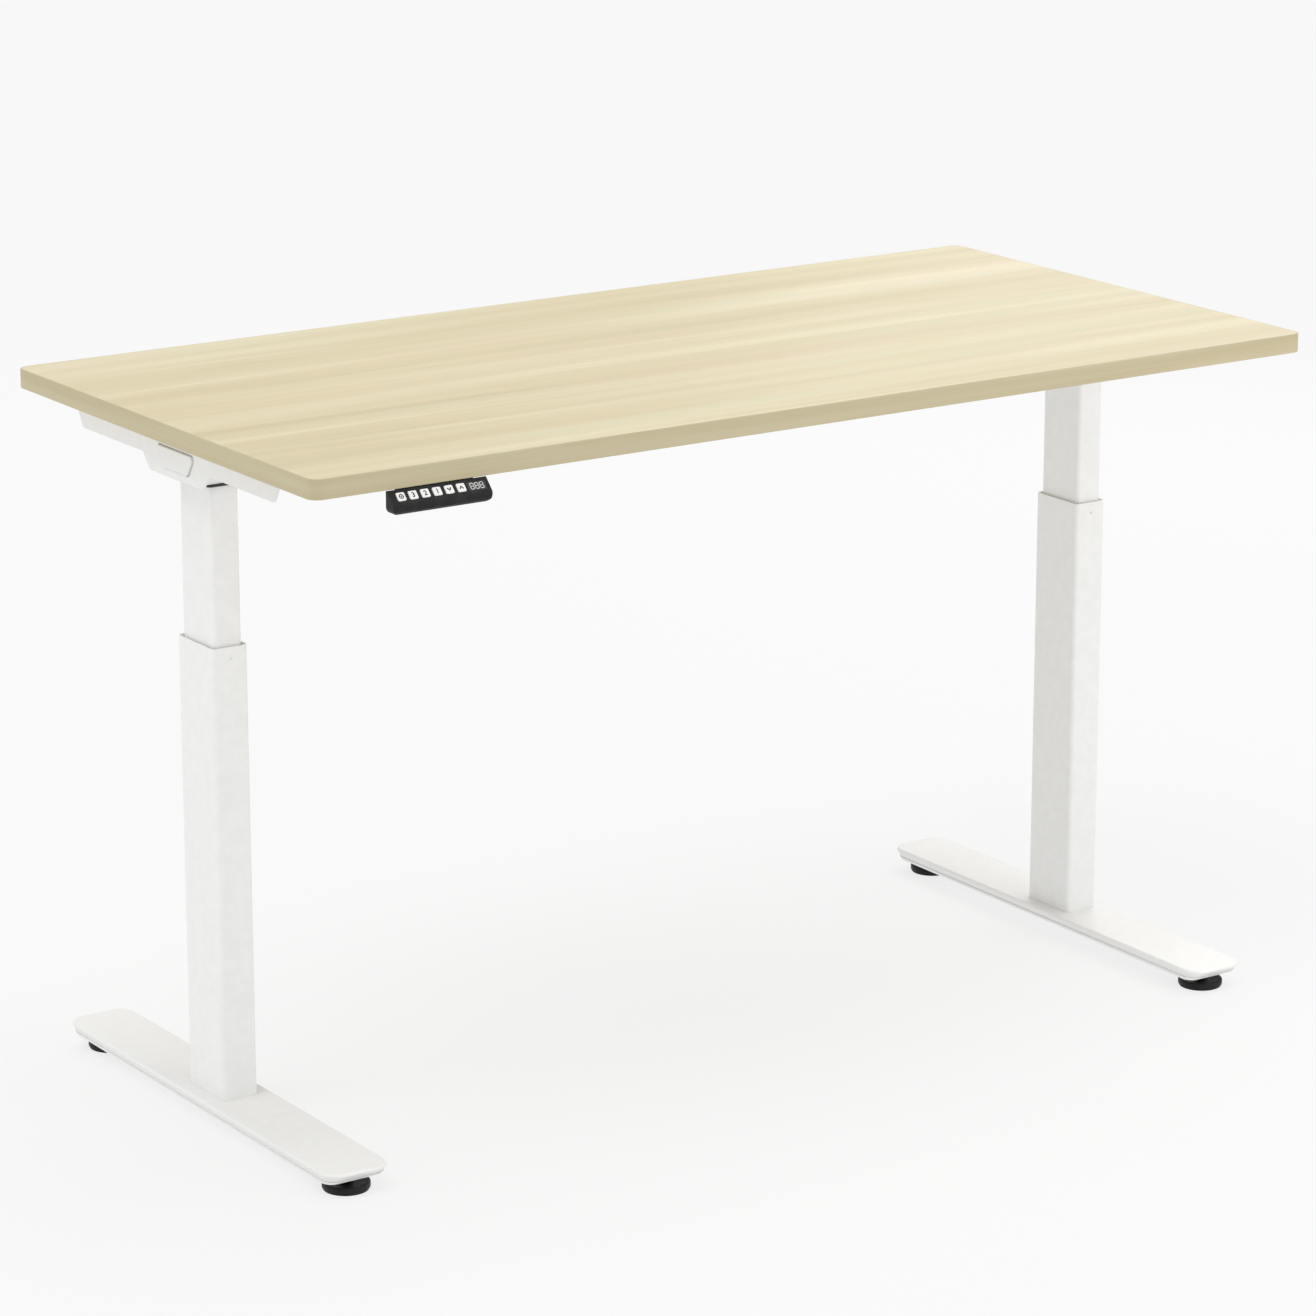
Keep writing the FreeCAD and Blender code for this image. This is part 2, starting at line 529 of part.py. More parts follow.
def footSolid(x, inset):
    """The foot's outer form, or with inset the hollow inside it, open at the bottom."""
    bottom = FOOT_BOTTOM - (1 if inset else 0)
    waist = footOutline(x, FOOT_WAIST, inset)
    lower = Part.makeLoft([footOutline(x, bottom, inset), waist], True, True)
    return lower.fuse(Part.Face(waist).extrude(Vector(0, 0, FOOT_TOP - inset - FOOT_WAIST)))


def foot(name, x):
    shell = filletEdges(footSolid(x, 0), FOOT_ARRIS, lambda b: b.ZLength < 1e-6 and b.ZMin > FOOT_TOP - 0.1)
    hem = Part.makeLoft([footOutline(x, z, -HEM_PROUD) for z in (FOOT_BOTTOM, FOOT_BOTTOM + HEM_HEIGHT)],
                        True, True)
    shell = shell.fuse(hem).cut(footSolid(x, FOOT_WALL))
    for j in (-1, 1):
        y = LEG_SETBACK + j * PAD_REACH
        shell = shell.fuse(rod(x, y, FOOT_BOTTOM + 0.5, FOOT_TOP - FOOT_WALL, 10.0))
        shell = shell.cut(rod(x, y, FOOT_BOTTOM, FOOT_TOP - FOOT_WALL + 0.1, STUD_RADIUS + RUNNING))
    for hole in atFour(x, LEG_SETBACK, BASE_BOLTS,
                       lambda hx, hy: rod(hx, hy, FOOT_BOTTOM, FOOT_TOP + 1, FOOT_BOLT_RADIUS + 0.3)):
        shell = shell.cut(hole)
    save(f"{name}_foot", shell.removeSplitter())


def legScrews(name, x):
    """The bolts up through the foot into the column's base plate, and the glide's screw in the outer tube."""
    screws = []
    under = FOOT_TOP - FOOT_WALL
    for hx, hy in atFour(x, LEG_SETBACK, BASE_BOLTS, lambda hx, hy: (hx, hy)):
        bolt = rod(hx, hy, under, BASE_PLATE_TOP, FOOT_BOLT_RADIUS)
        screws.append(bolt.fuse(socketHead(hx, hy, under, 6.5, 5.0, up=-1)))
    front = LEG_SETBACK - OUTER_Y / 2
    z = OUTER_TOP - GUIDE_SCREW_DROP
    shank = Part.makeCylinder(1.6, 4.0, Vector(x, front + 0.4, z), Vector(0, 1, 0))
    head = Part.makeCylinder(2.0, 1.2, Vector(x, front + 0.4, z), Vector(0, 1, 0))
    slot = box(x - 1.2, x + 1.2, front, front + 0.9, z - 0.25, z + 0.25)
    screws.append(shank.fuse(head).removeSplitter().cut(slot))
    save(f"{name}_leg_screws", screws)


def levellingPad(name, x, y):
    disc = rod(x, y, 0, PAD_HEIGHT, PAD_RADIUS)
    disc = disc.makeChamfer(2.4, [e for e in disc.Edges if e.BoundBox.ZLength < 1e-6 and e.BoundBox.ZMin > 1])
    disc = disc.makeChamfer(1.4, [e for e in disc.Edges if e.BoundBox.ZLength < 1e-6 and e.BoundBox.ZMax < 1])
    stud = rod(x, y, PAD_HEIGHT - 1, FOOT_TOP - FOOT_WALL - 3.3, STUD_RADIUS)
    save(name, disc.fuse(stud).removeSplitter())


# ---- control box --------------------------------------------------------------------------------------
BOX_WALL = 2.5
INLET_X = CONTROL_X + CONTROL_L / 2 - 38.0


def controlBox():
    x, y = CONTROL_X, CONTROL_Y
    low, split = UNDERSIDE - CONTROL_H, UNDERSIDE - 6.0
    front, back = y - CONTROL_W / 2, y + CONTROL_W / 2
    cover = roundedBar(x, y, CONTROL_L, CONTROL_W, 8.0, low, split)
    cover = filletEdges(cover, 3.0, lambda b: b.ZLength < 1e-6 and b.ZMin < low + 1)
    inside = (CONTROL_L - 2 * BOX_WALL, CONTROL_W - 2 * BOX_WALL, 8.0 - BOX_WALL)
    cover = cover.cut(roundedBar(x, y, *inside, low + BOX_WALL, split + 1))
    cover = cover.cut(box(INLET_X - 15, INLET_X + 15, back - 5, back + 1, low + 6, low + 28))
    for k in range(9):
        slot_x = x - 80 + 12 * k
        cover = cover.cut(box(slot_x - 2, slot_x + 2, front - 1, front + 4, low + 9, low + 23))
    corners = (CONTROL_L / 2 - 12, CONTROL_W / 2 - 12)
    for post in atFour(x, y, corners, lambda px, py: rod(px, py, low + BOX_WALL - 0.5, split, 4.0)):
        cover = cover.fuse(post)
    for hole in atFour(x, y, corners, lambda px, py: rod(px, py, low - 1, split + 1, 1.8)):
        cover = cover.cut(hole)
    save("control_box_cover", cover.removeSplitter())

    base = roundedBar(x, y, CONTROL_L, CONTROL_W, 8.0, split, UNDERSIDE)
    base = base.cut(roundedBar(x, y, *inside, split - 1, UNDERSIDE - BOX_WALL))
    for post in atFour(x, y, corners, lambda px, py: rod(px, py, split, UNDERSIDE - BOX_WALL + 0.5, 4.0)):
        base = base.fuse(post)
    for hole in atFour(x, y, corners, lambda px, py: rod(px, py, split - 1, UNDERSIDE - 1, 1.5 + RUNNING)):
        base = base.cut(hole)
    save("control_box_base", base.removeSplitter())

    board = box(x - CONTROL_L / 2 + 20, x + CONTROL_L / 2 - 20, front + 8, back - 22, split - 8, split - 6.4)
    blocks = [(-60, -10, 22, 34, 14), (-20, 15, 30, 18, 12), (25, -12, 20, 28, 15), (62, 8, 26, 22, 10)]
    for bx, by, bl, bw, bh in blocks:
        board = board.fuse(box(x + bx - bl / 2, x + bx + bl / 2, y + by - bw / 2, y + by + bw / 2,
                               split - 8 - bh, split - 8))
    save("control_board", board.removeSplitter())

    inlet = box(INLET_X - 14.6, INLET_X + 14.6, back - 18, back + 1.5, low + 6.4, low + 27.6)
    flange = roundedBar(INLET_X, 0, 36, 26, 3.0, 0, 2.0)
    flange.rotate(Vector(INLET_X, 0, 0), Vector(1, 0, 0), -90)
    flange.translate(Vector(0, back, low + 17))
    inlet = inlet.fuse(flange)
    inlet = inlet.cut(box(INLET_X - 11.5, INLET_X + 11.5, back - 14, back + 3, low + 9, low + 25))
    for dx, dz in ((-7, 14), (0, 20), (7, 14)):
        px, pz = INLET_X + dx, low + dz
        inlet = inlet.fuse(box(px - 1, px + 1, back - 15, back - 2, pz - 2, pz + 2))
    save("mains_inlet", inlet.removeSplitter())

    screws = []
    for px, py in atFour(x, y, corners, lambda px, py: (px, py)):
        shank = rod(px, py, low - 0.1, UNDERSIDE - 2.5, 1.5)
        screws.append(shank.fuse(panHead(px, py, low - 0.1, 3.2, 1.8, up=-1)))
    save("control_box_screws", screws)


# ---- keypad -------------------------------------------------------------------------------------------
PANEL_DROP = KEYPAD_PROUD * math.tan(math.radians(KEYPAD_TILT))
PANEL_NORMAL = Vector(0, -math.sin(math.radians(KEYPAD_TILT)), math.cos(math.radians(KEYPAD_TILT)))
PANEL_TOP_Y = FRONT + 0.6    # the panel starts just under the board's edge
KEYPAD_BACK = FRONT + 2.0
KEYPAD_CORNER = 8.0
SHELL_WALL = 1.6
TONGUE_INSET, TONGUE_REACH, TONGUE_THICK = 17.0, 40.0, 3.0
KEYPAD_SCREW_RADIUS = 1.7

BUTTONS = ["button_save", "button_three", "button_two", "button_one", "button_down", "button_up"]
BUTTON_FIRST = -KEYPAD_LENGTH / 2 + 15.5
BUTTON_PROUD, BUTTON_DEPTH = 1.2, 2.9
WINDOW_U, WINDOW_LENGTH, WINDOW_HEIGHT = KEYPAD_LENGTH / 2 - 17.0, 25.0, 12.0
BOARD_DEPTH, BOARD_HEIGHT, BOARD_SHIFT = 4.0, 11.0, 2.0


def keypadBody(inset, back):
    """The keypad's body out to y = back, moved inward by inset; rounded at its two lower corners."""
    brow = UNDERSIDE - 1.0 - inset / math.cos(math.radians(KEYPAD_TILT))
    nose_y = FRONT - KEYPAD_PROUD + inset
    nose_z = brow - (PANEL_TOP_Y - 0.6 - nose_y) * math.tan(math.radians(KEYPAD_TILT))
    low = UNDERSIDE - KEYPAD_HANG + inset
    outline = [(back, brow), (back, low), (nose_y + 4.0, low), (nose_y + 0.8, low + 3.0),
               (nose_y, nose_z - 2.0), (nose_y + 0.6, nose_z), (PANEL_TOP_Y, brow)]
    half = KEYPAD_LENGTH / 2 - inset
    body = prism([(KEYPAD_X - half, y, z) for y, z in outline], (2 * half, 0, 0))
    front_view = roundedBar(0, 0, 2 * half, 2 * (UNDERSIDE - low), KEYPAD_CORNER - inset, -50, 50)
    front_view.rotate(Vector(0, 0, 0), Vector(1, 0, 0), 90)
    front_view.translate(Vector(KEYPAD_X, FRONT, UNDERSIDE))
    return body.common(front_view)


def onPanel(u, v, depth):
    """A point on the button panel: u along X from its middle, v down the slope from its middle, depth in."""
    down = Vector(0, -math.cos(math.radians(KEYPAD_TILT)), -math.sin(math.radians(KEYPAD_TILT)))
    middle = Vector(KEYPAD_X, PANEL_TOP_Y - KEYPAD_PROUD / 2, UNDERSIDE - 1.0 - PANEL_DROP / 2)
    return middle + Vector(u, 0, 0) + down * v - PANEL_NORMAL * depth


def panelBlock(u, v, length, height, radius, depth0, depth1):
    """A block with rounded corners standing square to the button panel, between two depths."""
    block = roundedBar(0, 0, length, height, radius, 0, depth1 - depth0)
    block.rotate(Vector(0, 0, 0), Vector(1, 0, 0), KEYPAD_TILT)
    block.translate(onPanel(u, v, depth1))
    return block


def buttonPlaces():
    return [BUTTON_FIRST + BUTTON_PITCH * k for k in range(len(BUTTONS))]


def keypadScrewPlaces():
    inset = KEYPAD_LENGTH / 2 - TONGUE_INSET - 12
    return [(KEYPAD_X + i * inset, KEYPAD_BACK + TONGUE_REACH - 12) for i in (-1, 1)]


def keypad():
    shell = keypadBody(0, KEYPAD_BACK).cut(keypadBody(SHELL_WALL, KEYPAD_BACK + 5))
    for u in buttonPlaces():
        shell = shell.cut(panelBlock(u, 0, BUTTON_SIZE + 2 * GAP, BUTTON_SIZE + 2 * GAP, 2.0, -2, 3))
    shell = shell.cut(panelBlock(WINDOW_U, 0, WINDOW_LENGTH, WINDOW_HEIGHT, 1.5, -2, 3))
    save("keypad_shell", shell.removeSplitter())
    save("keypad_window", panelBlock(WINDOW_U, 0, WINDOW_LENGTH, WINDOW_HEIGHT, 1.5, 0.2, SHELL_WALL))
    board_length = KEYPAD_LENGTH - 2 * SHELL_WALL - 2.0
    save("keypad_board", panelBlock(0, BOARD_SHIFT, board_length, BOARD_HEIGHT, 1.0,
                                    BOARD_DEPTH, BOARD_DEPTH + 1.2))

    left, right = KEYPAD_X - KEYPAD_LENGTH / 2 + TONGUE_INSET, KEYPAD_X + KEYPAD_LENGTH / 2 - TONGUE_INSET
    lid = keypadBody(SHELL_WALL + 0.2, KEYPAD_BACK)
    lid = lid.common(box(left - 50, right + 50, KEYPAD_BACK - 1.2, KEYPAD_BACK, UNDERSIDE - 50, UNDERSIDE))
    rib = box(left, right, KEYPAD_BACK, KEYPAD_BACK + 2, UNDERSIDE - 22, UNDERSIDE)
    tongue = box(left, right, KEYPAD_BACK + 2, KEYPAD_BACK + TONGUE_REACH,
                 UNDERSIDE - TONGUE_THICK, UNDERSIDE)
    plate = lid.fuse([rib, tongue]).removeSplitter()
    screws = []
    for x, y in keypadScrewPlaces():
        plate = plate.cut(rod(x, y, UNDERSIDE - 5, UNDERSIDE + 1, KEYPAD_SCREW_RADIUS + GAP))
        head = panHead(x, y, UNDERSIDE - TONGUE_THICK, 3.4, 2.2, up=-1)
        screws.append(head.fuse(rod(x, y, UNDERSIDE - TONGUE_THICK, UNDERSIDE + 10, KEYPAD_SCREW_RADIUS)))
    save("keypad_plate", plate)
    save("keypad_screws", screws)


def buttons():
    for name, u in zip(BUTTONS, buttonPlaces()):
        cap = panelBlock(u, 0, BUTTON_SIZE, BUTTON_SIZE, 1.8, -BUTTON_PROUD, 2.3)
        face = onPanel(u, 0, -BUTTON_PROUD)
        cap = filletEdges(cap, 0.7, lambda b: abs((b.Center - face).dot(PANEL_NORMAL)) < 0.05)
        plunger = panelBlock(u, 0, BUTTON_SIZE - 3, BUTTON_SIZE - 3, 1.0, 2.2, BUTTON_DEPTH)
        save(name, cap.fuse(plunger).removeSplitter())


def main():
    os.makedirs("parts", exist_ok=True)
    desktop()
    topScrews()
    endCaps()
    troughs()
    frameScrews()
    glides()
    collars()
    spindleBearings()
    headBolts()
    for name, side in SIDES.items():
        x = side * LEG_SPREAD / 2
        sideArm(name, side)
        innerTube(name, x)
        outerTube(name, x)
        gearbox(name, side)
        spindle(name, x)
        nutAndTube(name, x)
        foot(name, x)
        legScrews(name, x)
        for end, j in (("front", -1), ("back", 1)):
            levellingPad(f"{name}_{end}_pad", x, LEG_SETBACK + j * PAD_REACH)
    controlBox()
    keypad()
    buttons()


main()
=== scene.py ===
import bpy, json, math
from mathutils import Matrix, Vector


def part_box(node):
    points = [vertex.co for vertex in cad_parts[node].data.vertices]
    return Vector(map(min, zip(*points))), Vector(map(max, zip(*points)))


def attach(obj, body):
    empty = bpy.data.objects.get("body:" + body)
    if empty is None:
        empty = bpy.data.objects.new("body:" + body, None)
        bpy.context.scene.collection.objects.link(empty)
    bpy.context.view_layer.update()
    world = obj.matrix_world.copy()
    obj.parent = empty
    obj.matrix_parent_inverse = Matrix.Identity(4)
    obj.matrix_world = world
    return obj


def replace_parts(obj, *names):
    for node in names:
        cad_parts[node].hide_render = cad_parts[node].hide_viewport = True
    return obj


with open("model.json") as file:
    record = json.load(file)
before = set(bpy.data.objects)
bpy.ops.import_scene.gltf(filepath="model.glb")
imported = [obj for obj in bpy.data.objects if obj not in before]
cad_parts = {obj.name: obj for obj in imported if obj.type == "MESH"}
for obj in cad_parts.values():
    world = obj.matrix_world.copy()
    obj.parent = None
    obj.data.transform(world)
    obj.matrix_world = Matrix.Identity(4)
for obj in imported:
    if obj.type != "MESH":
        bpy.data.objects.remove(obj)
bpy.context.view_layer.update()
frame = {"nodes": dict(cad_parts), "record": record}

scene = bpy.context.scene
nodes = frame["nodes"]
mm = 0.001


def middleOf(node):
    low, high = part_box(node)
    return (Vector(low) + Vector(high)) / 2


deskMiddle = middleOf("desktop_board")

camera = {"place": (-3.5116, -5.1999, 2.2343), "turn": (74.54, 0.0, -33.89), "lens": 135.54, "sensor": 36.0}


def makeCamera():
    data = bpy.data.cameras.new("camera")
    data.lens = camera["lens"]
    data.sensor_width = camera["sensor"]
    data.clip_end = 200
    data.dof.use_dof = False
    eye = bpy.data.objects.new("camera", data)
    scene.collection.objects.link(eye)
    x, y, z = camera["place"]                  # measured from the floor point under the desktop's middle
    eye.location = (deskMiddle.x + x, deskMiddle.y + y, z)
    eye.rotation_euler = [math.radians(a) for a in camera["turn"]]
    scene.camera = eye


makeCamera()
print("camera ready")

studio = {
    "sky": 0.93, "skyStrength": 0.78,
    # suns: where each comes from, power, and softness in degrees
    "suns": {"topLight": ((0.35, 0.05, 1.0), 0.80, 40), "sideLight": ((-0.5, -0.15, 1.0), 0.70, 30)},
    "floorColour": 0.16, "floorGlow": 0.755, "floorSize": 80,
    # soft boxes: place from the desk's middle on the floor, point that it faces, width, height, watts
    "boxes": {"leftBox": ((-2.6, 0.1, 0.7), (-0.7, 0.0, 0.5), 1.2, 1.0, 5),
              "frontBox": ((1.5, -3.0, 0.9), (0.7, 0.0, 0.4), 1.4, 1.4, 24),
              "backBox": ((3.3, 2.5, 1.8), (0.5, 0.0, 0.9), 2.4, 1.0, 13)},
}


def makeSun(name, comesFrom, power, softness):
    data = bpy.data.lights.new(name, "SUN")
    data.energy = power
    data.angle = math.radians(softness)
    lamp = bpy.data.objects.new(name, data)
    scene.collection.objects.link(lamp)
    lamp.rotation_euler = Vector(comesFrom).to_track_quat("Z", "Y").to_euler()


def makeBox(name, place, target, width, height, power):
    data = bpy.data.lights.new(name, "AREA")
    data.shape = "RECTANGLE"
    data.size, data.size_y = width, height
    data.energy = power
    lamp = bpy.data.objects.new(name, data)
    scene.collection.objects.link(lamp)
    floorPoint = Vector((deskMiddle.x, deskMiddle.y, 0))
    lamp.location = floorPoint + Vector(place)
    lamp.rotation_euler = (Vector(place) - Vector(target)).to_track_quat("Z", "Y").to_euler()


def makeStudio():
    world = bpy.data.worlds.new("softSky")
    world.use_nodes = True
    sky = world.node_tree.nodes["Background"]
    sky.inputs["Color"].default_value = [studio["sky"]] * 3 + [1]
    sky.inputs["Strength"].default_value = studio["skyStrength"]
    scene.world = world
    for name, values in studio["suns"].items():
        makeSun(name, *values)
    for name, values in studio["boxes"].items():
        makeBox(name, *values)
    half = studio["floorSize"] / 2
    mesh = bpy.data.meshes.new("floor")
    corners = [(-half, -half, 0), (half, -half, 0), (half, half, 0), (-half, half, 0)]
    mesh.from_pydata(corners, [], [(0, 1, 2, 3)])
    floor = bpy.data.objects.new("floor", mesh)
    scene.collection.objects.link(floor)
    paint = bpy.data.materials.new("floorPaint")
    paint.use_nodes = True
    tree = paint.node_tree
    shader = tree.nodes["Principled BSDF"]
    shader.inputs["Base Color"].default_value = [studio["floorColour"]] * 3 + [1]
    shader.inputs["Emission Color"].default_value = (1, 1, 1, 1)
    shader.inputs["Emission Strength"].default_value = studio["floorGlow"]
    shader.inputs["Roughness"].default_value = 1.0
    shader.inputs["Specular IOR Level"].default_value = 0.0
    side = tree.nodes.new("ShaderNodeNewGeometry")     # seen from below, the floor lets the eye through
    clear = tree.nodes.new("ShaderNodeBsdfTransparent")
    mix = tree.nodes.new("ShaderNodeMixShader")
    tree.links.new(side.outputs["Backfacing"], mix.inputs["Fac"])
    tree.links.new(shader.outputs[0], mix.inputs[1])
    tree.links.new(clear.outputs[0], mix.inputs[2])
    tree.links.new(mix.outputs[0], tree.nodes["Material Output"].inputs["Surface"])
    mesh.materials.append(paint)
    scene.view_settings.view_transform = "Standard"


makeStudio()
print("studio ready")


def newGroup(name, inputs, outputs):
    # inputs are listed as (kind, name, value) and outputs as (kind, name)
    group = bpy.data.node_groups.new(name, "ShaderNodeTree")
    for kind, socket, value in inputs:
        made = group.interface.new_socket(socket, in_out="INPUT", socket_type=kind)
        made.default_value = value
    for kind, socket in outputs:
        group.interface.new_socket(socket, in_out="OUTPUT", socket_type=kind)
    return group, group.nodes.new("NodeGroupInput"), group.nodes.new("NodeGroupOutput")


class Wiring:
    # short calls for placing and joining nodes in one tree
    def __init__(self, tree):
        self.tree = tree

    def join(self, source, target):
        self.tree.links.new(source, target)

    def feed(self, target, value):
        if isinstance(value, bpy.types.NodeSocket):
            self.tree.links.new(value, target)
        elif value is not None:
            target.default_value = value

    def place(self, kind, **settings):
        node = self.tree.nodes.new(kind)
        for name, value in settings.items():
            setattr(node, name, value)
        return node

    def point(self, scale):
        coords = self.place("ShaderNodeTexCoord")
        stretch = self.place("ShaderNodeVectorMath", operation="MULTIPLY")
        self.join(coords.outputs["Object"], stretch.inputs[0])
        self.feed(stretch.inputs[1], scale)
        return stretch.outputs[0]

    def vector(self, x, y, z):
        made = self.place("ShaderNodeCombineXYZ")
        for socket, value in zip(made.inputs, (x, y, z)):
            self.feed(socket, value)
        return made.outputs[0]

    def noise(self, where, scale, detail=3.0, rough=0.5, bend=0.0):
        made = self.place("ShaderNodeTexNoise")
        self.feed(made.inputs["Vector"], where)
        self.feed(made.inputs["Scale"], scale)
        made.inputs["Detail"].default_value = detail
        made.inputs["Roughness"].default_value = rough
        made.inputs["Distortion"].default_value = bend
        return made.outputs["Fac"]

    def sums(self, operation, a, b=None, c=None):
        made = self.place("ShaderNodeMath", operation=operation)
        for socket, value in zip(made.inputs, (a, b, c)):
            self.feed(socket, value)
        return made.outputs[0]

    def spread(self, value, low, high, toLow=0.0, toHigh=1.0):
        made = self.place("ShaderNodeMapRange")
        for socket, given in zip(made.inputs, (value, low, high, toLow, toHigh)):
            self.feed(socket, given)
        return made.outputs[0]

    def blend(self, factor, a, b, how="MIX"):
        made = self.place("ShaderNodeMix", data_type="RGBA", blend_type=how)
        self.feed(made.inputs["Factor"], factor)
        self.feed(made.inputs[6], a)
        self.feed(made.inputs[7], b)
        return made.outputs[2]


grainPlan = {
    # each streak: changes per metre along the grain and across it, and detail
    "streaks": {"broad": (0.55, 9, 2.0), "middle": (0.9, 26, 3.0), "fine": (1.6, 90, 3.0),
                "thin": (5.0, 420, 2.0), "warm": (1.1, 14, 1.0), "cool": (1.3, 19, 1.0)},
    # what each adds to the tone: the noise values that it starts and ends at, and how far it swings
    "tone": {"broad": (0.32, 0.68, 0.5), "middle": (0.3, 0.7, 0.55), "fine": (0.3, 0.7, 0.28)},
    # tints laid over it: the noise values that it starts and ends at, its strength and its colour
    "tints": {"warm": (0.52, 0.68, 0.35, (0.68, 0.56, 0.40, 1)),
              "cool": (0.56, 0.70, 0.30, (0.62, 0.61, 0.44, 1))},
    "toneRange": 0.9, "poreFrom": (0.62, 0.72), "poreColour": (0.80, 0.74, 0.62, 1),
    "wanderAlong": 0.9, "wanderAcross": 2.2, "wanderReach": 0.025, "rough": (0.40, 0.50), "fineHeight": 0.4,
}


def makeGrainGroup():
    # long pale streaks along X, fine lines and short pores, as printed on a board's laminate
    group, given, result = newGroup(
        "laminateGrain",
        [("NodeSocketColor", "Base", (0.6, 0.5, 0.4, 1)), ("NodeSocketColor", "Dark", (0.5, 0.4, 0.3, 1)),
         ("NodeSocketColor", "Light", (0.7, 0.6, 0.5, 1)), ("NodeSocketFloat", "Contrast", 1.0),
         ("NodeSocketFloat", "Pores", 0.3), ("NodeSocketVector", "Along Across", (0.0, 0.0, 0.0))],
        [("NodeSocketColor", "Color"), ("NodeSocketFloat", "Roughness"), ("NodeSocketFloat", "Height")])
    w = Wiring(group)
    axes = w.place("ShaderNodeSeparateXYZ")
    w.join(given.outputs["Along Across"], axes.inputs[0])
    slowX = w.sums("MULTIPLY", axes.outputs["X"], grainPlan["wanderAlong"])
    slowY = w.sums("MULTIPLY", axes.outputs["Y"], grainPlan["wanderAcross"])
    wander = w.noise(w.vector(slowX, slowY, 0.0), 1.0, 2.0)
    drift = w.sums("MULTIPLY", w.sums("SUBTRACT", wander, 0.5), grainPlan["wanderReach"])
    across = w.sums("ADD", axes.outputs["Y"], drift)

    def streak(along, over, detail):
        x = w.sums("MULTIPLY", axes.outputs["X"], along)
        y = w.sums("MULTIPLY", across, over)
        z = w.sums("MULTIPLY", axes.outputs["Z"], over)
        return w.noise(w.vector(x, y, z), 1.0, detail, 0.55)

    made = {name: streak(*values) for name, values in grainPlan["streaks"].items()}
    tone = None
    for name, (low, high, swing) in grainPlan["tone"].items():
        part = w.spread(made[name], low, high, -swing, swing)
        tone = part if tone is None else w.sums("ADD", tone, part)
    tone = w.sums("MULTIPLY", tone, given.outputs["Contrast"])
    darker = w.spread(tone, -grainPlan["toneRange"], 0.0, 1.0, 0.0)
    lighter = w.spread(tone, 0.0, grainPlan["toneRange"], 0.0, 1.0)
    colour = w.blend(darker, given.outputs["Base"], given.outputs["Dark"])
    colour = w.blend(lighter, colour, given.outputs["Light"])
    for name, (low, high, strength, tint) in grainPlan["tints"].items():
        colour = w.blend(w.spread(made[name], low, high, 0.0, strength), colour, tint)
    pore = w.sums("MULTIPLY", w.spread(made["thin"], *grainPlan["poreFrom"]), given.outputs["Pores"])
    colour = w.blend(pore, colour, w.blend(1.0, colour, grainPlan["poreColour"], "MULTIPLY"))
    w.join(colour, result.inputs["Color"])
    mixed = w.sums("ADD", made["fine"], made["thin"])
    w.join(w.spread(mixed, 0.7, 1.3, *grainPlan["rough"]), result.inputs["Roughness"])
    ridges = w.sums("MULTIPLY", made["fine"], grainPlan["fineHeight"])
    w.join(w.sums("SUBTRACT", ridges, pore), result.inputs["Height"])
    return group


skinPlan = {"patchScale": 7.0, "patchFrom": (0.35, 0.7),
            "bumpShare": 0.4, "patchShare": 0.6, "glossFrom": (0.35, 0.65)}


def makeSkinGroup():
    # the skin of a sprayed or moulded surface: fine bumps, patches of gloss and a faint change of tone
    group, given, result = newGroup(
        "surfaceSkin",
        [("NodeSocketColor", "Color", (0.8, 0.8, 0.8, 1)),
         ("NodeSocketColor", "Patch Color", (0.7, 0.7, 0.7, 1)),
         ("NodeSocketFloat", "Bump Scale", 900.0), ("NodeSocketFloat", "Rough Low", 0.4),
         ("NodeSocketFloat", "Rough High", 0.5), ("NodeSocketFloat", "Patch", 0.3)],
        [("NodeSocketColor", "Color"), ("NodeSocketFloat", "Roughness"), ("NodeSocketFloat", "Height")])
    w = Wiring(group)
    here = w.point((1, 1, 1))
    bumps = w.noise(here, given.outputs["Bump Scale"], 2.0, 0.6)
    patches = w.noise(here, skinPlan["patchScale"], 4.0, 0.6)
    amount = w.sums("MULTIPLY", w.spread(patches, *skinPlan["patchFrom"]), given.outputs["Patch"])
    w.join(w.blend(amount, given.outputs["Color"], given.outputs["Patch Color"]), result.inputs["Color"])
    fromBumps = w.sums("MULTIPLY", bumps, skinPlan["bumpShare"])
    fromPatches = w.sums("MULTIPLY", patches, skinPlan["patchShare"])
    gloss = w.spread(w.sums("ADD", fromBumps, fromPatches), *skinPlan["glossFrom"])
    w.join(w.spread(gloss, 0.0, 1.0, given.outputs["Rough Low"], given.outputs["Rough High"]),
           result.inputs["Roughness"])
    w.join(bumps, result.inputs["Height"])
    return group


wearPlan = {"convexFrom": (0.52, 0.60), "speckFrom": (0.42, 0.62)}


def makeWearGroup():
    # rubbed edges: the mask is strongest on convex edges and broken up by noise
    group, given, result = newGroup(
        "edgeWear",
        [("NodeSocketColor", "Color", (0.8, 0.8, 0.8, 1)),
         ("NodeSocketColor", "Worn Color", (0.6, 0.6, 0.6, 1)),
         ("NodeSocketFloat", "Amount", 0.5), ("NodeSocketFloat", "Break Up", 60.0)],
        [("NodeSocketColor", "Color"), ("NodeSocketFloat", "Mask")])
    w = Wiring(group)
    shape = w.place("ShaderNodeNewGeometry")
    edge = w.spread(shape.outputs["Pointiness"], *wearPlan["convexFrom"])
    specks = w.noise(w.point((1, 1, 1)), given.outputs["Break Up"], 3.0, 0.65)
    speck = w.spread(specks, *wearPlan["speckFrom"])
    mask = w.sums("MULTIPLY", w.sums("MULTIPLY", edge, speck), given.outputs["Amount"])
    w.join(mask, result.inputs["Mask"])
    w.join(w.blend(mask, given.outputs["Color"], given.outputs["Worn Color"]), result.inputs["Color"])
    return group


dustPlan = {"upFrom": (0.3, 1.0), "cloudScale": 22.0, "cloudFrom": (0.38, 0.72), "dulls": 0.3}


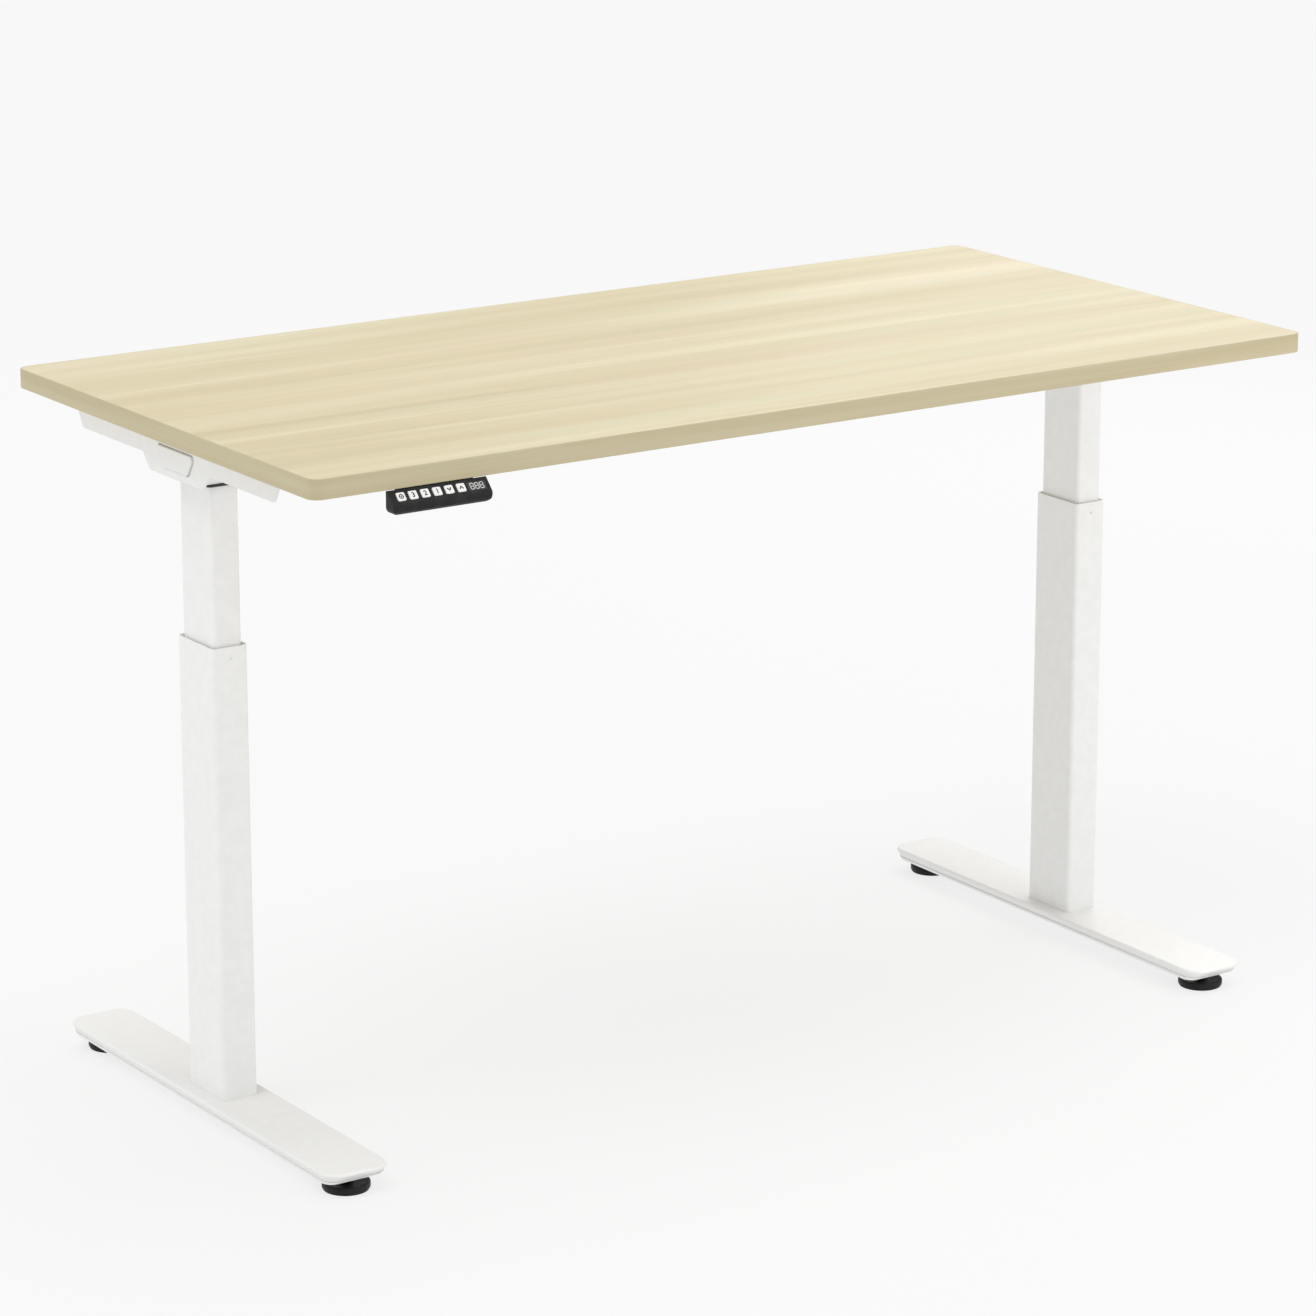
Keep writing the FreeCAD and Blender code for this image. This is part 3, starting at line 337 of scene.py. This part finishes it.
def makeDustGroup():
    # a thin dull film that gathers on faces that look up
    group, given, result = newGroup(
        "restingDust",
        [("NodeSocketColor", "Color", (0.8, 0.8, 0.8, 1)),
         ("NodeSocketColor", "Dust Color", (0.5, 0.48, 0.45, 1)),
         ("NodeSocketFloat", "Roughness", 0.5), ("NodeSocketFloat", "Amount", 0.2)],
        [("NodeSocketColor", "Color"), ("NodeSocketFloat", "Roughness")])
    w = Wiring(group)
    shape = w.place("ShaderNodeNewGeometry")
    facing = w.place("ShaderNodeSeparateXYZ")
    w.join(shape.outputs["Normal"], facing.inputs[0])
    up = w.spread(facing.outputs["Z"], *dustPlan["upFrom"])
    clouds = w.noise(w.point((1, 1, 1)), dustPlan["cloudScale"], 6.0, 0.7)
    cloud = w.spread(clouds, *dustPlan["cloudFrom"])
    mask = w.sums("MULTIPLY", w.sums("MULTIPLY", up, cloud), given.outputs["Amount"])
    w.join(w.blend(mask, given.outputs["Color"], given.outputs["Dust Color"]), result.inputs["Color"])
    dulled = w.sums("MULTIPLY", mask, dustPlan["dulls"])
    w.join(w.sums("ADD", given.outputs["Roughness"], dulled), result.inputs["Roughness"])
    return group


linesPlan = {"stainScale": (30, 30, 30), "lineShare": 0.7, "stainShare": 0.3, "glossFrom": (0.3, 0.7)}


def makeTurnedGroup():
    # fine rings or draw lines of machined metal, or an even sparkle where Stretch is the same on all axes
    group, given, result = newGroup(
        "machinedLines",
        [("NodeSocketVector", "Stretch", (4000.0, 60.0, 60.0)), ("NodeSocketFloat", "Rough Low", 0.2),
         ("NodeSocketFloat", "Rough High", 0.4)],
        [("NodeSocketFloat", "Roughness"), ("NodeSocketFloat", "Height")])
    w = Wiring(group)
    lines = w.noise(w.point(given.outputs["Stretch"]), 1.0, 2.0, 0.6)
    stain = w.noise(w.point(linesPlan["stainScale"]), 1.0, 4.0)
    fromLines = w.sums("MULTIPLY", lines, linesPlan["lineShare"])
    fromStain = w.sums("MULTIPLY", stain, linesPlan["stainShare"])
    low, high = linesPlan["glossFrom"]
    w.join(w.spread(w.sums("ADD", fromLines, fromStain), low, high,
                    given.outputs["Rough Low"], given.outputs["Rough High"]), result.inputs["Roughness"])
    w.join(lines, result.inputs["Height"])
    return group


grainGroup, skinGroup, wearGroup = makeGrainGroup(), makeSkinGroup(), makeWearGroup()
dustGroup, turnedGroup = makeDustGroup(), makeTurnedGroup()


class Finish:
    # a material under construction: its shader, its wiring and the groups placed in it
    def __init__(self, name, metallic=0.0, coat=0.0, ior=1.5, specular=0.5):
        self.material = bpy.data.materials.new(name)
        self.material.use_nodes = True
        self.wires = Wiring(self.material.node_tree)
        self.shader = self.material.node_tree.nodes["Principled BSDF"]
        self.shader.inputs["Metallic"].default_value = metallic
        self.shader.inputs["IOR"].default_value = ior
        self.shader.inputs["Specular IOR Level"].default_value = specular
        self.shader.inputs["Coat Weight"].default_value = coat
        self.shader.inputs["Coat Roughness"].default_value = 0.25

    def effect(self, group, **values):
        node = self.wires.place("ShaderNodeGroup", node_tree=group)
        for name, value in values.items():
            self.wires.feed(node.inputs[name.replace("_", " ")], value)
        return node

    def surface(self, colour=None, roughness=None):
        self.wires.feed(self.shader.inputs["Base Color"], colour)
        self.wires.feed(self.shader.inputs["Roughness"], roughness)

    def bump(self, height, depth, strength=1.0, softenEdges=None):
        bump = self.wires.place("ShaderNodeBump")
        bump.inputs["Strength"].default_value = strength
        bump.inputs["Distance"].default_value = depth
        self.wires.join(height, bump.inputs["Height"])
        if softenEdges:
            soft = self.wires.place("ShaderNodeBevel", samples=4)
            soft.inputs["Radius"].default_value = softenEdges
            self.wires.join(soft.outputs[0], bump.inputs["Normal"])
        self.wires.join(bump.outputs[0], self.shader.inputs["Normal"])


def laminate(name, values):
    f = Finish(name, specular=values["specular"])
    coords = f.wires.place("ShaderNodeTexCoord")
    axes = f.wires.place("ShaderNodeSeparateXYZ")
    f.wires.join(coords.outputs["Object"], axes.inputs[0])
    route = coords.outputs["Object"]
    if values["roundTheEdge"]:                # the banding's grain runs round the board on every side
        along = f.wires.sums("ADD", axes.outputs["X"], axes.outputs["Y"])
        route = f.wires.vector(along, axes.outputs["Z"], axes.outputs["Z"])
    grain = f.effect(grainGroup, Base=values["base"], Dark=values["dark"], Light=values["light"],
                     Contrast=values["contrast"], Pores=values["pores"], Along_Across=route)
    f.surface(grain.outputs["Color"], grain.outputs["Roughness"])
    f.bump(grain.outputs["Height"], values["depth"], 0.5)
    return f.material


dustColour = (0.55, 0.53, 0.50, 1)


def coated(name, values):
    f = Finish(name, metallic=values.get("metallic", 0.0), coat=values.get("coat", 0.0),
               specular=values.get("specular", 0.5))
    low, high = values["rough"]
    skin = f.effect(skinGroup, Color=values["colour"], Patch_Color=values["patch"],
                    Patch=values["patchiness"], Bump_Scale=values["bumpScale"],
                    Rough_Low=low, Rough_High=high)
    worn = f.effect(wearGroup, Color=skin.outputs["Color"], Worn_Color=values["worn"], Amount=values["wear"])
    dust = f.effect(dustGroup, Color=worn.outputs["Color"], Roughness=skin.outputs["Roughness"],
                    Dust_Color=dustColour, Amount=values["dust"])
    f.surface(dust.outputs["Color"], dust.outputs["Roughness"])
    f.bump(skin.outputs["Height"], values["depth"], 0.6, values.get("softenEdges"))
    return f.material


def machined(name, values):
    f = Finish(name, metallic=1.0)
    low, high = values["rough"]
    lines = f.effect(turnedGroup, Stretch=values["stretch"], Rough_Low=low, Rough_High=high)
    worn = f.effect(wearGroup, Color=values["colour"], Worn_Color=values["worn"], Amount=values["wear"])
    f.surface(worn.outputs["Color"], lines.outputs["Roughness"])
    f.bump(lines.outputs["Height"], values["depth"], 0.5)
    return f.material


def variant(base, **changes):
    made = dict(base)
    made.update(changes)
    return made


boardLook = {
    "base": (0.660, 0.580, 0.385, 1), "dark": (0.585, 0.505, 0.318, 1), "light": (0.745, 0.680, 0.490, 1),
    "contrast": 0.9, "pores": 0.35, "depth": 0.00004, "specular": 0.14, "roundTheEdge": False}
# the banding's colours are darker than the board's top: a little of it is the band's own tone, most of it is
# painted shade of the board's side faces
bandLookPaintedShade = {
    "base": (0.500, 0.435, 0.275, 1), "dark": (0.440, 0.372, 0.228, 1), "light": (0.560, 0.500, 0.340, 1),
    "contrast": 0.7, "pores": 0.25, "depth": 0.00004, "specular": 0.25, "roundTheEdge": True}
whiteCoat = {
    "colour": (0.80, 0.80, 0.79, 1), "patch": (0.775, 0.775, 0.765, 1), "patchiness": 0.35,
    "worn": (0.86, 0.86, 0.855, 1), "wear": 0.35, "dust": 0.03, "bumpScale": 1500.0,
    "rough": (0.36, 0.46), "depth": 0.00003, "softenEdges": 0.0006}
glideLook = variant(whiteCoat, colour=(0.70, 0.70, 0.69, 1), patch=(0.66, 0.66, 0.65, 1), rough=(0.3, 0.4),
                    wear=0.1)
nutLook = variant(whiteCoat, colour=(0.78, 0.75, 0.66, 1), patch=(0.74, 0.71, 0.62, 1), rough=(0.3, 0.42))
keyLook = variant(whiteCoat, colour=(0.80, 0.80, 0.78, 1), patch=(0.76, 0.76, 0.74, 1), rough=(0.28, 0.42),
                  bumpScale=3000.0, softenEdges=0.0003)
darkPlastic = {
    "colour": (0.022, 0.022, 0.023, 1), "patch": (0.030, 0.030, 0.031, 1), "patchiness": 0.5,
    "worn": (0.06, 0.06, 0.06, 1), "wear": 0.4, "dust": 0.02, "bumpScale": 2600.0,
    "rough": (0.48, 0.62), "depth": 0.00006, "softenEdges": 0.0004, "specular": 0.3}
padLook = variant(darkPlastic, colour=(0.005, 0.005, 0.0055, 1), patch=(0.007, 0.007, 0.0075, 1),
                  rough=(0.42, 0.55), dust=0.008, specular=0.22)
caseLook = variant(darkPlastic, colour=(0.05, 0.05, 0.052, 1), worn=(0.4, 0.4, 0.4, 1), metallic=0.6,
                   bumpScale=1200.0, depth=0.00012)
motorLook = variant(darkPlastic, colour=(0.12, 0.12, 0.125, 1), worn=(0.45, 0.45, 0.45, 1), metallic=0.9,
                    rough=(0.28, 0.42), depth=0.00002)
keypadLook = variant(darkPlastic, colour=(0.008, 0.008, 0.009, 1), patch=(0.010, 0.010, 0.011, 1),
                     worn=(0.03, 0.03, 0.03, 1), patchiness=0.3, rough=(0.40, 0.50), dust=0.005, specular=0.2)
windowLook = variant(darkPlastic, colour=(0.008, 0.008, 0.009, 1), rough=(0.10, 0.20), coat=0.6,
                     depth=0.000005, dust=0.01, wear=0.0)
circuitLook = variant(darkPlastic, colour=(0.02, 0.12, 0.05, 1), patch=(0.03, 0.17, 0.07, 1),
                      rough=(0.25, 0.4))
steelLook = {
    "colour": (0.55, 0.55, 0.56, 1), "worn": (0.72, 0.72, 0.73, 1), "wear": 0.6,
    "stretch": (80.0, 80.0, 5000.0), "rough": (0.18, 0.36), "depth": 0.00002}
zincLook = {
    "colour": (0.62, 0.62, 0.60, 1), "worn": (0.78, 0.78, 0.76, 1), "wear": 0.6,
    "stretch": (900.0, 900.0, 900.0), "rough": (0.24, 0.42), "depth": 0.00003}
bronzeLook = {
    "colour": (0.62, 0.40, 0.18, 1), "worn": (0.80, 0.58, 0.30, 1), "wear": 0.6,
    "stretch": (60.0, 60.0, 4000.0), "rough": (0.2, 0.4), "depth": 0.00003}

looks = {
    "board_top": laminate("boardLaminate", boardLook),
    # edge banding, coloured darker with painted shade of the board's sides
    "edge_band": laminate("edgeBandingPaintedShade", bandLookPaintedShade),
    "white_steel": coated("whitePowderCoat", whiteCoat),
    "black_plastic": coated("blackMoulding", darkPlastic),
    "glide_plastic": coated("glideAcetal", glideLook),
    "pad_plastic": coated("padMoulding", padLook),
    "gear_case": coated("blackCasting", caseLook),
    "motor_can": coated("platedCan", motorLook),
    "steel": machined("turnedSteel", steelLook),
    "zinc": machined("zincPlate", zincLook),
    "bronze": machined("wheelBronze", bronzeLook),
    "nut_plastic": coated("nutAcetal", nutLook),
    "keypad_plastic": coated("keypadMoulding", keypadLook),
    "keypad_glass": coated("displayWindow", windowLook),
    "button_white": coated("keyCap", keyLook),
    "circuit_board": coated("solderMask", circuitLook),
}


def dressFrame():
    slots = {part["node"]: part["material_slot"] for part in frame["record"]["subparts"]}
    for name, piece in nodes.items():
        piece.data.materials.clear()
        piece.data.materials.append(looks[slots[name]])


dressFrame()
print("materials ready")


def joinRings(name, rings, slot, body, closed=False):
    # skins rings of points one after another: closed joins the last ring to the first,
    # and otherwise both ends are capped
    count = len(rings[0])
    faces = []
    for k in range(len(rings) if closed else len(rings) - 1):
        here, there = k * count, (k + 1) % len(rings) * count
        for i in range(count):
            after = (i + 1) % count
            faces.append((here + i, here + after, there + after, there + i))
    if not closed:
        last = (len(rings) - 1) * count
        faces += [tuple(reversed(range(count))), tuple(range(last, last + count))]
    return addPiece(name, [p for ring in rings for p in ring], faces, slot, body)


def addPiece(name, points, faces, slot, body, finish=None, sharp=35):
    mesh = bpy.data.meshes.new(name)
    mesh.from_pydata([tuple(p) for p in points], [], faces)
    mesh.validate()
    mesh.materials.append(finish or looks[slot])
    mesh.polygons.foreach_set("use_smooth", [True] * len(mesh.polygons))
    mesh.set_sharp_from_angle(angle=math.radians(sharp))
    piece = bpy.data.objects.new(name, mesh)
    scene.collection.objects.link(piece)
    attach(piece, body)
    return piece


def circle(centre, radius, z, steps):
    # radius is a number or a function of the angle
    ring = []
    for k in range(steps):
        a = 2 * math.pi * k / steps
        r = radius(a) if callable(radius) else radius
        ring.append((centre.x + r * math.cos(a), centre.y + r * math.sin(a), z))
    return ring


def hexagon(acrossFlats):
    def radius(angle):
        return acrossFlats / 2 / math.cos((angle + math.pi / 6) % (math.pi / 3) - math.pi / 6)
    return radius


# keys and display: printed marks lie on the keys, lit segments on the window
marks = {"proud": 0.08 * mm, "digitHeight": 6.4 * mm, "sizePerHeight": 1.4, "bolder": 0.22 * mm,
         "digits": {"button_one": "1", "button_two": "2", "button_three": "3"},
         "arrowWidth": 6.4 * mm, "arrowDrop": 3.4 * mm, "stroke": 1.5 * mm, "footCut": 0.4, "tipRise": 0.6,
         "arrows": {"button_up": 1, "button_down": -1},
         "ring": (3.3 * mm, 2.0 * mm), "ringSteps": 20, "dot": 1.1 * mm, "dotSteps": 14,
         "ink": (0.015, 0.015, 0.016, 1), "inkPatch": (0.03, 0.03, 0.03, 1), "sunk": 0.02 * mm}
display = {"digitWidth": 4.6 * mm, "digitHeight": 8.0 * mm, "pitch": 6.6 * mm, "stroke": 0.95 * mm,
           "joint": 0.25 * mm, "proud": 0.06 * mm,
           "glow": (0.62, 0.62, 0.60, 1), "glowPatch": (0.50, 0.50, 0.49, 1), "brightness": 0.12}

pressAxis = next(j["axis"] for j in frame["record"]["behaviour"]["joints"] if j["name"] == "button_one_press")
panelOut = -Vector(pressAxis).normalized()
panelUp = panelOut.cross(Vector((1, 0, 0)))


def panelFace(node):
    # middle of the outer face of something that stands square to the button panel
    points = [v.co for v in nodes[node].data.vertices]
    x = (min(p.x for p in points) + max(p.x for p in points)) / 2
    ups = [p.dot(panelUp) for p in points]
    out = max(p.dot(panelOut) for p in points)
    return Vector((x, 0, 0)) + panelUp * (min(ups) + max(ups)) / 2 + panelOut * out


def onFace(middle, u, v, out):
    return middle + Vector((u, 0, 0)) + panelUp * v + panelOut * out


def flatMark(name, middle, outlines, proud, slot, body, finish=None):
    # thin raised shapes on the panel, each outline a list of (u, v) going round once
    points, faces = [], []
    for outline in outlines:
        start, count = len(points), len(outline)
        points += [onFace(middle, u, v, out) for out in (-marks["sunk"], proud) for u, v in outline]
        faces.append(tuple(start + i for i in reversed(range(count))))
        faces.append(tuple(start + count + i for i in range(count)))
        for i in range(count):
            after = (i + 1) % count
            faces.append((start + i, start + after, start + count + after, start + count + i))
    return addPiece(name, points, faces, slot, body, finish)


def markInk():
    f = Finish("markInk", specular=0.3)
    skin = f.effect(skinGroup, Color=marks["ink"], Patch_Color=marks["inkPatch"], Patch=0.4,
                    Bump_Scale=3500.0, Rough_Low=0.45, Rough_High=0.6)
    f.surface(skin.outputs["Color"], skin.outputs["Roughness"])
    f.bump(skin.outputs["Height"], 0.00001)
    return f.material


def segmentLight():
    f = Finish("segmentLight", specular=0.3)
    skin = f.effect(skinGroup, Color=display["glow"], Patch_Color=display["glowPatch"], Patch=0.5,
                    Bump_Scale=2500.0, Rough_Low=0.35, Rough_High=0.5)
    f.surface(skin.outputs["Color"], skin.outputs["Roughness"])
    f.wires.join(skin.outputs["Color"], f.shader.inputs["Emission Color"])
    f.shader.inputs["Emission Strength"].default_value = display["brightness"]
    return f.material


def polar(radius, angle):
    return (radius * math.cos(angle), radius * math.sin(angle))


def digitMark(node, text, ink):
    curve = bpy.data.curves.new("digit", "FONT")
    curve.body = text
    curve.size = marks["digitHeight"] * marks["sizePerHeight"]
    curve.align_x, curve.align_y = "CENTER", "CENTER"
    curve.extrude = marks["proud"] / 2
    curve.offset = marks["bolder"]
    curve.resolution_u = 4
    shape = bpy.data.objects.new("digit", curve)
    scene.collection.objects.link(shape)
    solid = shape.evaluated_get(bpy.context.evaluated_depsgraph_get())
    mesh = bpy.data.meshes.new_from_object(solid)
    bpy.data.objects.remove(shape)
    middle = panelFace(node)
    wide = [v.co.x for v in mesh.vertices]
    tall = [v.co.y for v in mesh.vertices]
    midX, midY = (min(wide) + max(wide)) / 2, (min(tall) + max(tall)) / 2
    lift = marks["proud"] / 2
    points = [onFace(middle, v.co.x - midX, v.co.y - midY, v.co.z + lift) for v in mesh.vertices]
    faces = [tuple(p.vertices) for p in mesh.polygons]
    addPiece(f"{node}_mark", points, faces, "keypad_plastic", f"{node}_key", ink)


def arrowMark(node, way, ink):
    half, drop, line = marks["arrowWidth"] / 2, marks["arrowDrop"], marks["stroke"]
    low = -drop / 2 - line * marks["footCut"]
    chevron = [(-half, -drop / 2), (-half + line, low), (0, drop / 2 - line),
               (half - line, low), (half, -drop / 2), (0, drop / 2 + line * marks["tipRise"])]
    outline = [(u, v * way) for u, v in chevron][::way]
    flatMark(f"{node}_mark", panelFace(node), [outline], marks["proud"], "keypad_plastic", f"{node}_key", ink)


def dialMark(node, ink):
    # a ring with a dot, on the key that stores a height
    dial = []
    outer, inner = marks["ring"]
    for k in range(marks["ringSteps"]):
        a, b = (2 * math.pi * (k + i) / marks["ringSteps"] for i in (0, 1))
        dial.append([polar(inner, a), polar(outer, a), polar(outer, b), polar(inner, b)])
    dial.append([polar(marks["dot"], 2 * math.pi * k / marks["dotSteps"]) for k in range(marks["dotSteps"])])
    flatMark(f"{node}_mark", panelFace(node), dial, marks["proud"], "keypad_plastic", f"{node}_key", ink)


def keyMarks():
    ink = markInk()
    for node, text in marks["digits"].items():
        digitMark(node, text, ink)
    for node, way in marks["arrows"].items():
        arrowMark(node, way, ink)
    dialMark("button_save", ink)


def displayDigits():
    w, h, t, gap = display["digitWidth"], display["digitHeight"], display["stroke"] / 2, display["joint"]

    def bar(u0, v0, u1, v1):
        # a six-sided segment from one end point to the other
        along = Vector((u1 - u0, v1 - v0)).normalized()
        side = Vector((-along.y, along.x)) * t
        a, b = Vector((u0, v0)) + along * gap, Vector((u1, v1)) - along * gap
        cut = along * t
        corners = [a, a + cut - side, b - cut - side, b, b - cut + side, a + cut + side]
        return [(p.x, p.y) for p in corners]

    outlines = []
    for k in (-1, 0, 1):
        left, right = k * display["pitch"] - w / 2, k * display["pitch"] + w / 2
        for v in (-h / 2, 0, h / 2):
            outlines.append(bar(left, v, right, v))
        for u in (left, right):
            outlines += [bar(u, -h / 2, u, 0), bar(u, 0, u, h / 2)]
    flatMark("display_digits", panelFace("keypad_window"), outlines, display["proud"], "button_white", "desk",
             segmentLight())


keyMarks()
displayDigits()
print("keypad marks ready")

# levelling feet: a moulded disc with a sole, a threaded stud and a lock nut under the foot
pad = {
    "steps": 48, "sole": 1.4 * mm, "soleInset": 1.6 * mm, "soleBevel": (1.2 * mm, 0.5 * mm),
    # under the disc's rim: distance in from the rim, and height over the sole
    "underside": ((2.4 * mm, 0.0), (0.4 * mm, 1.2 * mm), (0.0, 2.4 * mm)),
    "discTop": 10.6 * mm, "round": 2.2 * mm, "dish": 0.9 * mm, "dishEdge": 5 * mm, "hub": 11 * mm,
    "collarFlats": 15.0 * mm, "collarTop": 12.4 * mm, "collarBevel": 0.6 * mm, "collarCrown": 7.6 * mm,
    "studRadius": 4.95 * mm, "studTip": 1.0 * mm,
    "threadDepth": 0.55 * mm, "threadPitch": 1.5 * mm, "perPitch": 6,
    "nutFlats": 17.0 * mm, "nutHeight": 4.0 * mm, "nutSunk": 0.5 * mm, "nutGap": 0.05 * mm,
    "nutCorner": 0.4 * mm, "nutBevel": 0.7 * mm}
# in pitches, from the middle of the crest: how far the crest reaches, and how wide the slope beside it is
threadShape = {"crest": 0.14, "slope": 0.16}


def threadRings(centre, low, high, crest, depth, pitch, starts, steps, perPitch):
    # rings up a rod whose radius follows a trapezoid thread, right-handed along +Z
    rings = []
    levels = max(2, round((high - low) / pitch * perPitch))
    for level in range(levels + 1):
        z = low + (high - low) * level / levels
        fade = min(1.0, min(z - low, high - z) / pitch)

        def radius(a, z=z, fade=fade):
            turn = (z / pitch - starts * a / (2 * math.pi)) % 1.0
            slope = min(1.0, max(0.0, (abs(turn - 0.5) - threadShape["crest"]) / threadShape["slope"]))
            return crest - depth * slope * fade
        rings.append(circle(centre, radius, z, steps))
    return rings


def footPad(side, end):
    node, body, steps = f"{side}_{end}_pad", f"{side}_{end}_foot_pad", pad["steps"]
    low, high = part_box(node)
    centre, rim = middleOf(node), (high.x - low.x) / 2
    dished = pad["discTop"] - pad["dish"]
    profile = [(rim - inset, pad["sole"] + up) for inset, up in pad["underside"]]
    profile.append((rim, pad["discTop"] - pad["round"]))
    for degrees in (30, 60, 90):
        a = math.radians(degrees)
        inset, drop = pad["round"] * (1 - math.cos(a)), pad["round"] * (1 - math.sin(a))
        profile.append((rim - inset, pad["discTop"] - drop))
    profile += [(rim - pad["dishEdge"], dished), (pad["hub"], dished)]
    rings = [circle(centre, r, z, steps) for r, z in profile]
    flats = hexagon(pad["collarFlats"])
    for z in (dished + pad["collarBevel"], pad["collarTop"] - pad["collarBevel"]):
        rings.append(circle(centre, flats, z, steps))
    rings.append(circle(centre, lambda a: min(flats(a), pad["collarCrown"]), pad["collarTop"], steps))
    rings += threadRings(centre, pad["collarTop"], high.z - pad["studTip"], pad["studRadius"],
                         pad["threadDepth"], pad["threadPitch"], 1, steps, pad["perPitch"])
    rings.append(circle(centre, pad["studRadius"] - pad["studTip"], high.z, steps))
    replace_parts(joinRings(f"{node}_moulding", rings, "pad_plastic", body), node)
    edge = rim - pad["soleInset"]
    bevelIn, bevelUp = pad["soleBevel"]
    sole = [circle(centre, r, z, steps)
            for r, z in ((edge - bevelIn, 0), (edge, bevelUp), (edge, pad["sole"]))]
    joinRings(f"{node}_sole", sole, "pad_plastic", body)


def lockNut(side, end):
    centre, steps = middleOf(f"{side}_{end}_pad"), pad["steps"]
    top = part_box(f"{side}_foot")[0].z + pad["nutSunk"]
    bottom = top - pad["nutHeight"]
    flats = hexagon(pad["nutFlats"])
    bore = pad["studRadius"] + pad["nutGap"]
    cornerCut = pad["nutFlats"] / 2 + pad["nutCorner"]
    nut = [circle(centre, lambda a: min(flats(a), cornerCut), bottom, steps),
           circle(centre, flats, bottom + pad["nutBevel"], steps), circle(centre, flats, top, steps),
           circle(centre, bore, top, steps), circle(centre, bore, bottom, steps)]
    joinRings(f"{side}_{end}_lock_nut", nut, "zinc", f"{side}_base", closed=True)


for side in ("left", "right"):
    for end in ("front", "back"):
        footPad(side, end)
        lockNut(side, end)
print("levelling feet ready")

# spindles with a two-start thread, and the toothed wheel and worm that turn them; toothTip and toothSlope
# are in tooth pitches, from the middle of the tip
drive = {
    "starts": 2, "threadPitch": 5.0 * mm, "threadDepth": 1.6 * mm, "steps": 20, "perPitch": 6,
    "footBevel": 1.0 * mm, "headBevel": (2.0 * mm, 1.0 * mm), "underBearing": 2 * mm, "runOut": 0.5 * mm,
    "flatCut": 1.2 * mm, "flatStep": 0.1 * mm,
    "teeth": 16, "toothDepth": 1.9 * mm, "toothTip": 0.16, "toothSlope": 0.20, "toothSteps": 6, "twist": 0.10,
    "wheelLayers": 4, "wheelBevel": 0.5 * mm, "wheelBore": 8.02 * mm,
    "wormLength": 28 * mm, "wormPitch": 6.2 * mm, "wormDepth": 1.5 * mm, "wormSteps": 24, "wormPerPitch": 8,
    "shaft": 2.5 * mm, "shaftBevel": 0.4 * mm, "wormRunOut": 0.2 * mm}


def threadedSpindle(side):
    node, steps = f"{side}_spindle", drive["steps"]
    low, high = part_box(node)
    centre, crest = middleOf(node), (high.y - low.y) / 2
    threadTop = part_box("spindle_bearings")[0].z - drive["underBearing"]
    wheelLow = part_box(f"{side}_worm_wheel")[0].z
    flat = high.x - centre.x - drive["flatCut"]
    bevelIn, bevelDown = drive["headBevel"]

    def keyed(a):
        return min(crest, flat / math.cos(a)) if math.cos(a) > 0 else crest

    rings = [circle(centre, crest - drive["footBevel"], low.z, steps)]
    rings += threadRings(centre, low.z + drive["footBevel"], threadTop, crest, drive["threadDepth"],
                         drive["threadPitch"], drive["starts"], steps, drive["perPitch"])
    rings += [circle(centre, crest, threadTop + drive["runOut"], steps),
              circle(centre, crest, wheelLow, steps),
              circle(centre, keyed, wheelLow + drive["flatStep"], steps),
              circle(centre, keyed, high.z - bevelDown, steps),
              circle(centre, crest - bevelIn, high.z, steps)]
    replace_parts(joinRings(f"{node}_threaded", rings, "steel", f"{side}_screw"), node)


def toothedWheel(side):
    node, steps = f"{side}_worm_wheel", drive["teeth"] * drive["toothSteps"]
    low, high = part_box(node)
    centre, tip = middleOf(node), (high.x - low.x) / 2
    rings = []
    for layer in range(drive["wheelLayers"] + 1):
        share = layer / drive["wheelLayers"]
        z = low.z + (high.z - low.z) * share
        bevel = drive["wheelBevel"] if layer in (0, drive["wheelLayers"]) else 0.0

        def radius(a, share=share, bevel=bevel):
            turn = ((a + drive["twist"] * share) * drive["teeth"] / (2 * math.pi)) % 1.0
            slope = min(1.0, max(0.0, (abs(turn - 0.5) - drive["toothTip"]) / drive["toothSlope"]))
            return tip - bevel - drive["toothDepth"] * slope
        rings.append(circle(centre, radius, z, steps))
    rings += [circle(centre, drive["wheelBore"], z, steps) for z in (high.z, low.z)]
    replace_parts(joinRings(f"{node}_toothed", rings, "bronze", f"{side}_screw", closed=True), node)


def worm(side):
    # drawn upright at the origin, then laid along X through the shaft's place
    node, steps = f"{side}_worm_shaft", drive["wormSteps"]
    low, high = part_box(node)
    axis = middleOf(node)
    wormMiddle = middleOf(f"{side}_worm_wheel").x
    crest, half, origin = (high.z - low.z) / 2, drive["wormLength"] / 2, Vector((0, 0, 0))
    start, stop = low.x - wormMiddle, high.x - wormMiddle
    shaft, bevel, runOut = drive["shaft"], drive["shaftBevel"], drive["wormRunOut"]
    rings = [circle(origin, r, z, steps)
             for r, z in ((shaft - bevel, start), (shaft, start + bevel), (shaft, -half - runOut))]
    rings += threadRings(origin, -half, half, crest, drive["wormDepth"], drive["wormPitch"], drive["starts"],
                         steps, drive["wormPerPitch"])
    rings += [circle(origin, r, z, steps)
              for r, z in ((shaft, half + runOut), (shaft, stop - bevel), (shaft - bevel, stop))]
    laid = [[(wormMiddle + z, axis.y + x, axis.z + y) for x, y, z in ring] for ring in rings]
    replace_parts(joinRings(f"{node}_threaded", laid, "steel", f"{side}_rotor"), node)


for makePart in (threadedSpindle, toothedWheel, worm):
    for side in ("left", "right"):
        makePart(side)
print("drive ready")
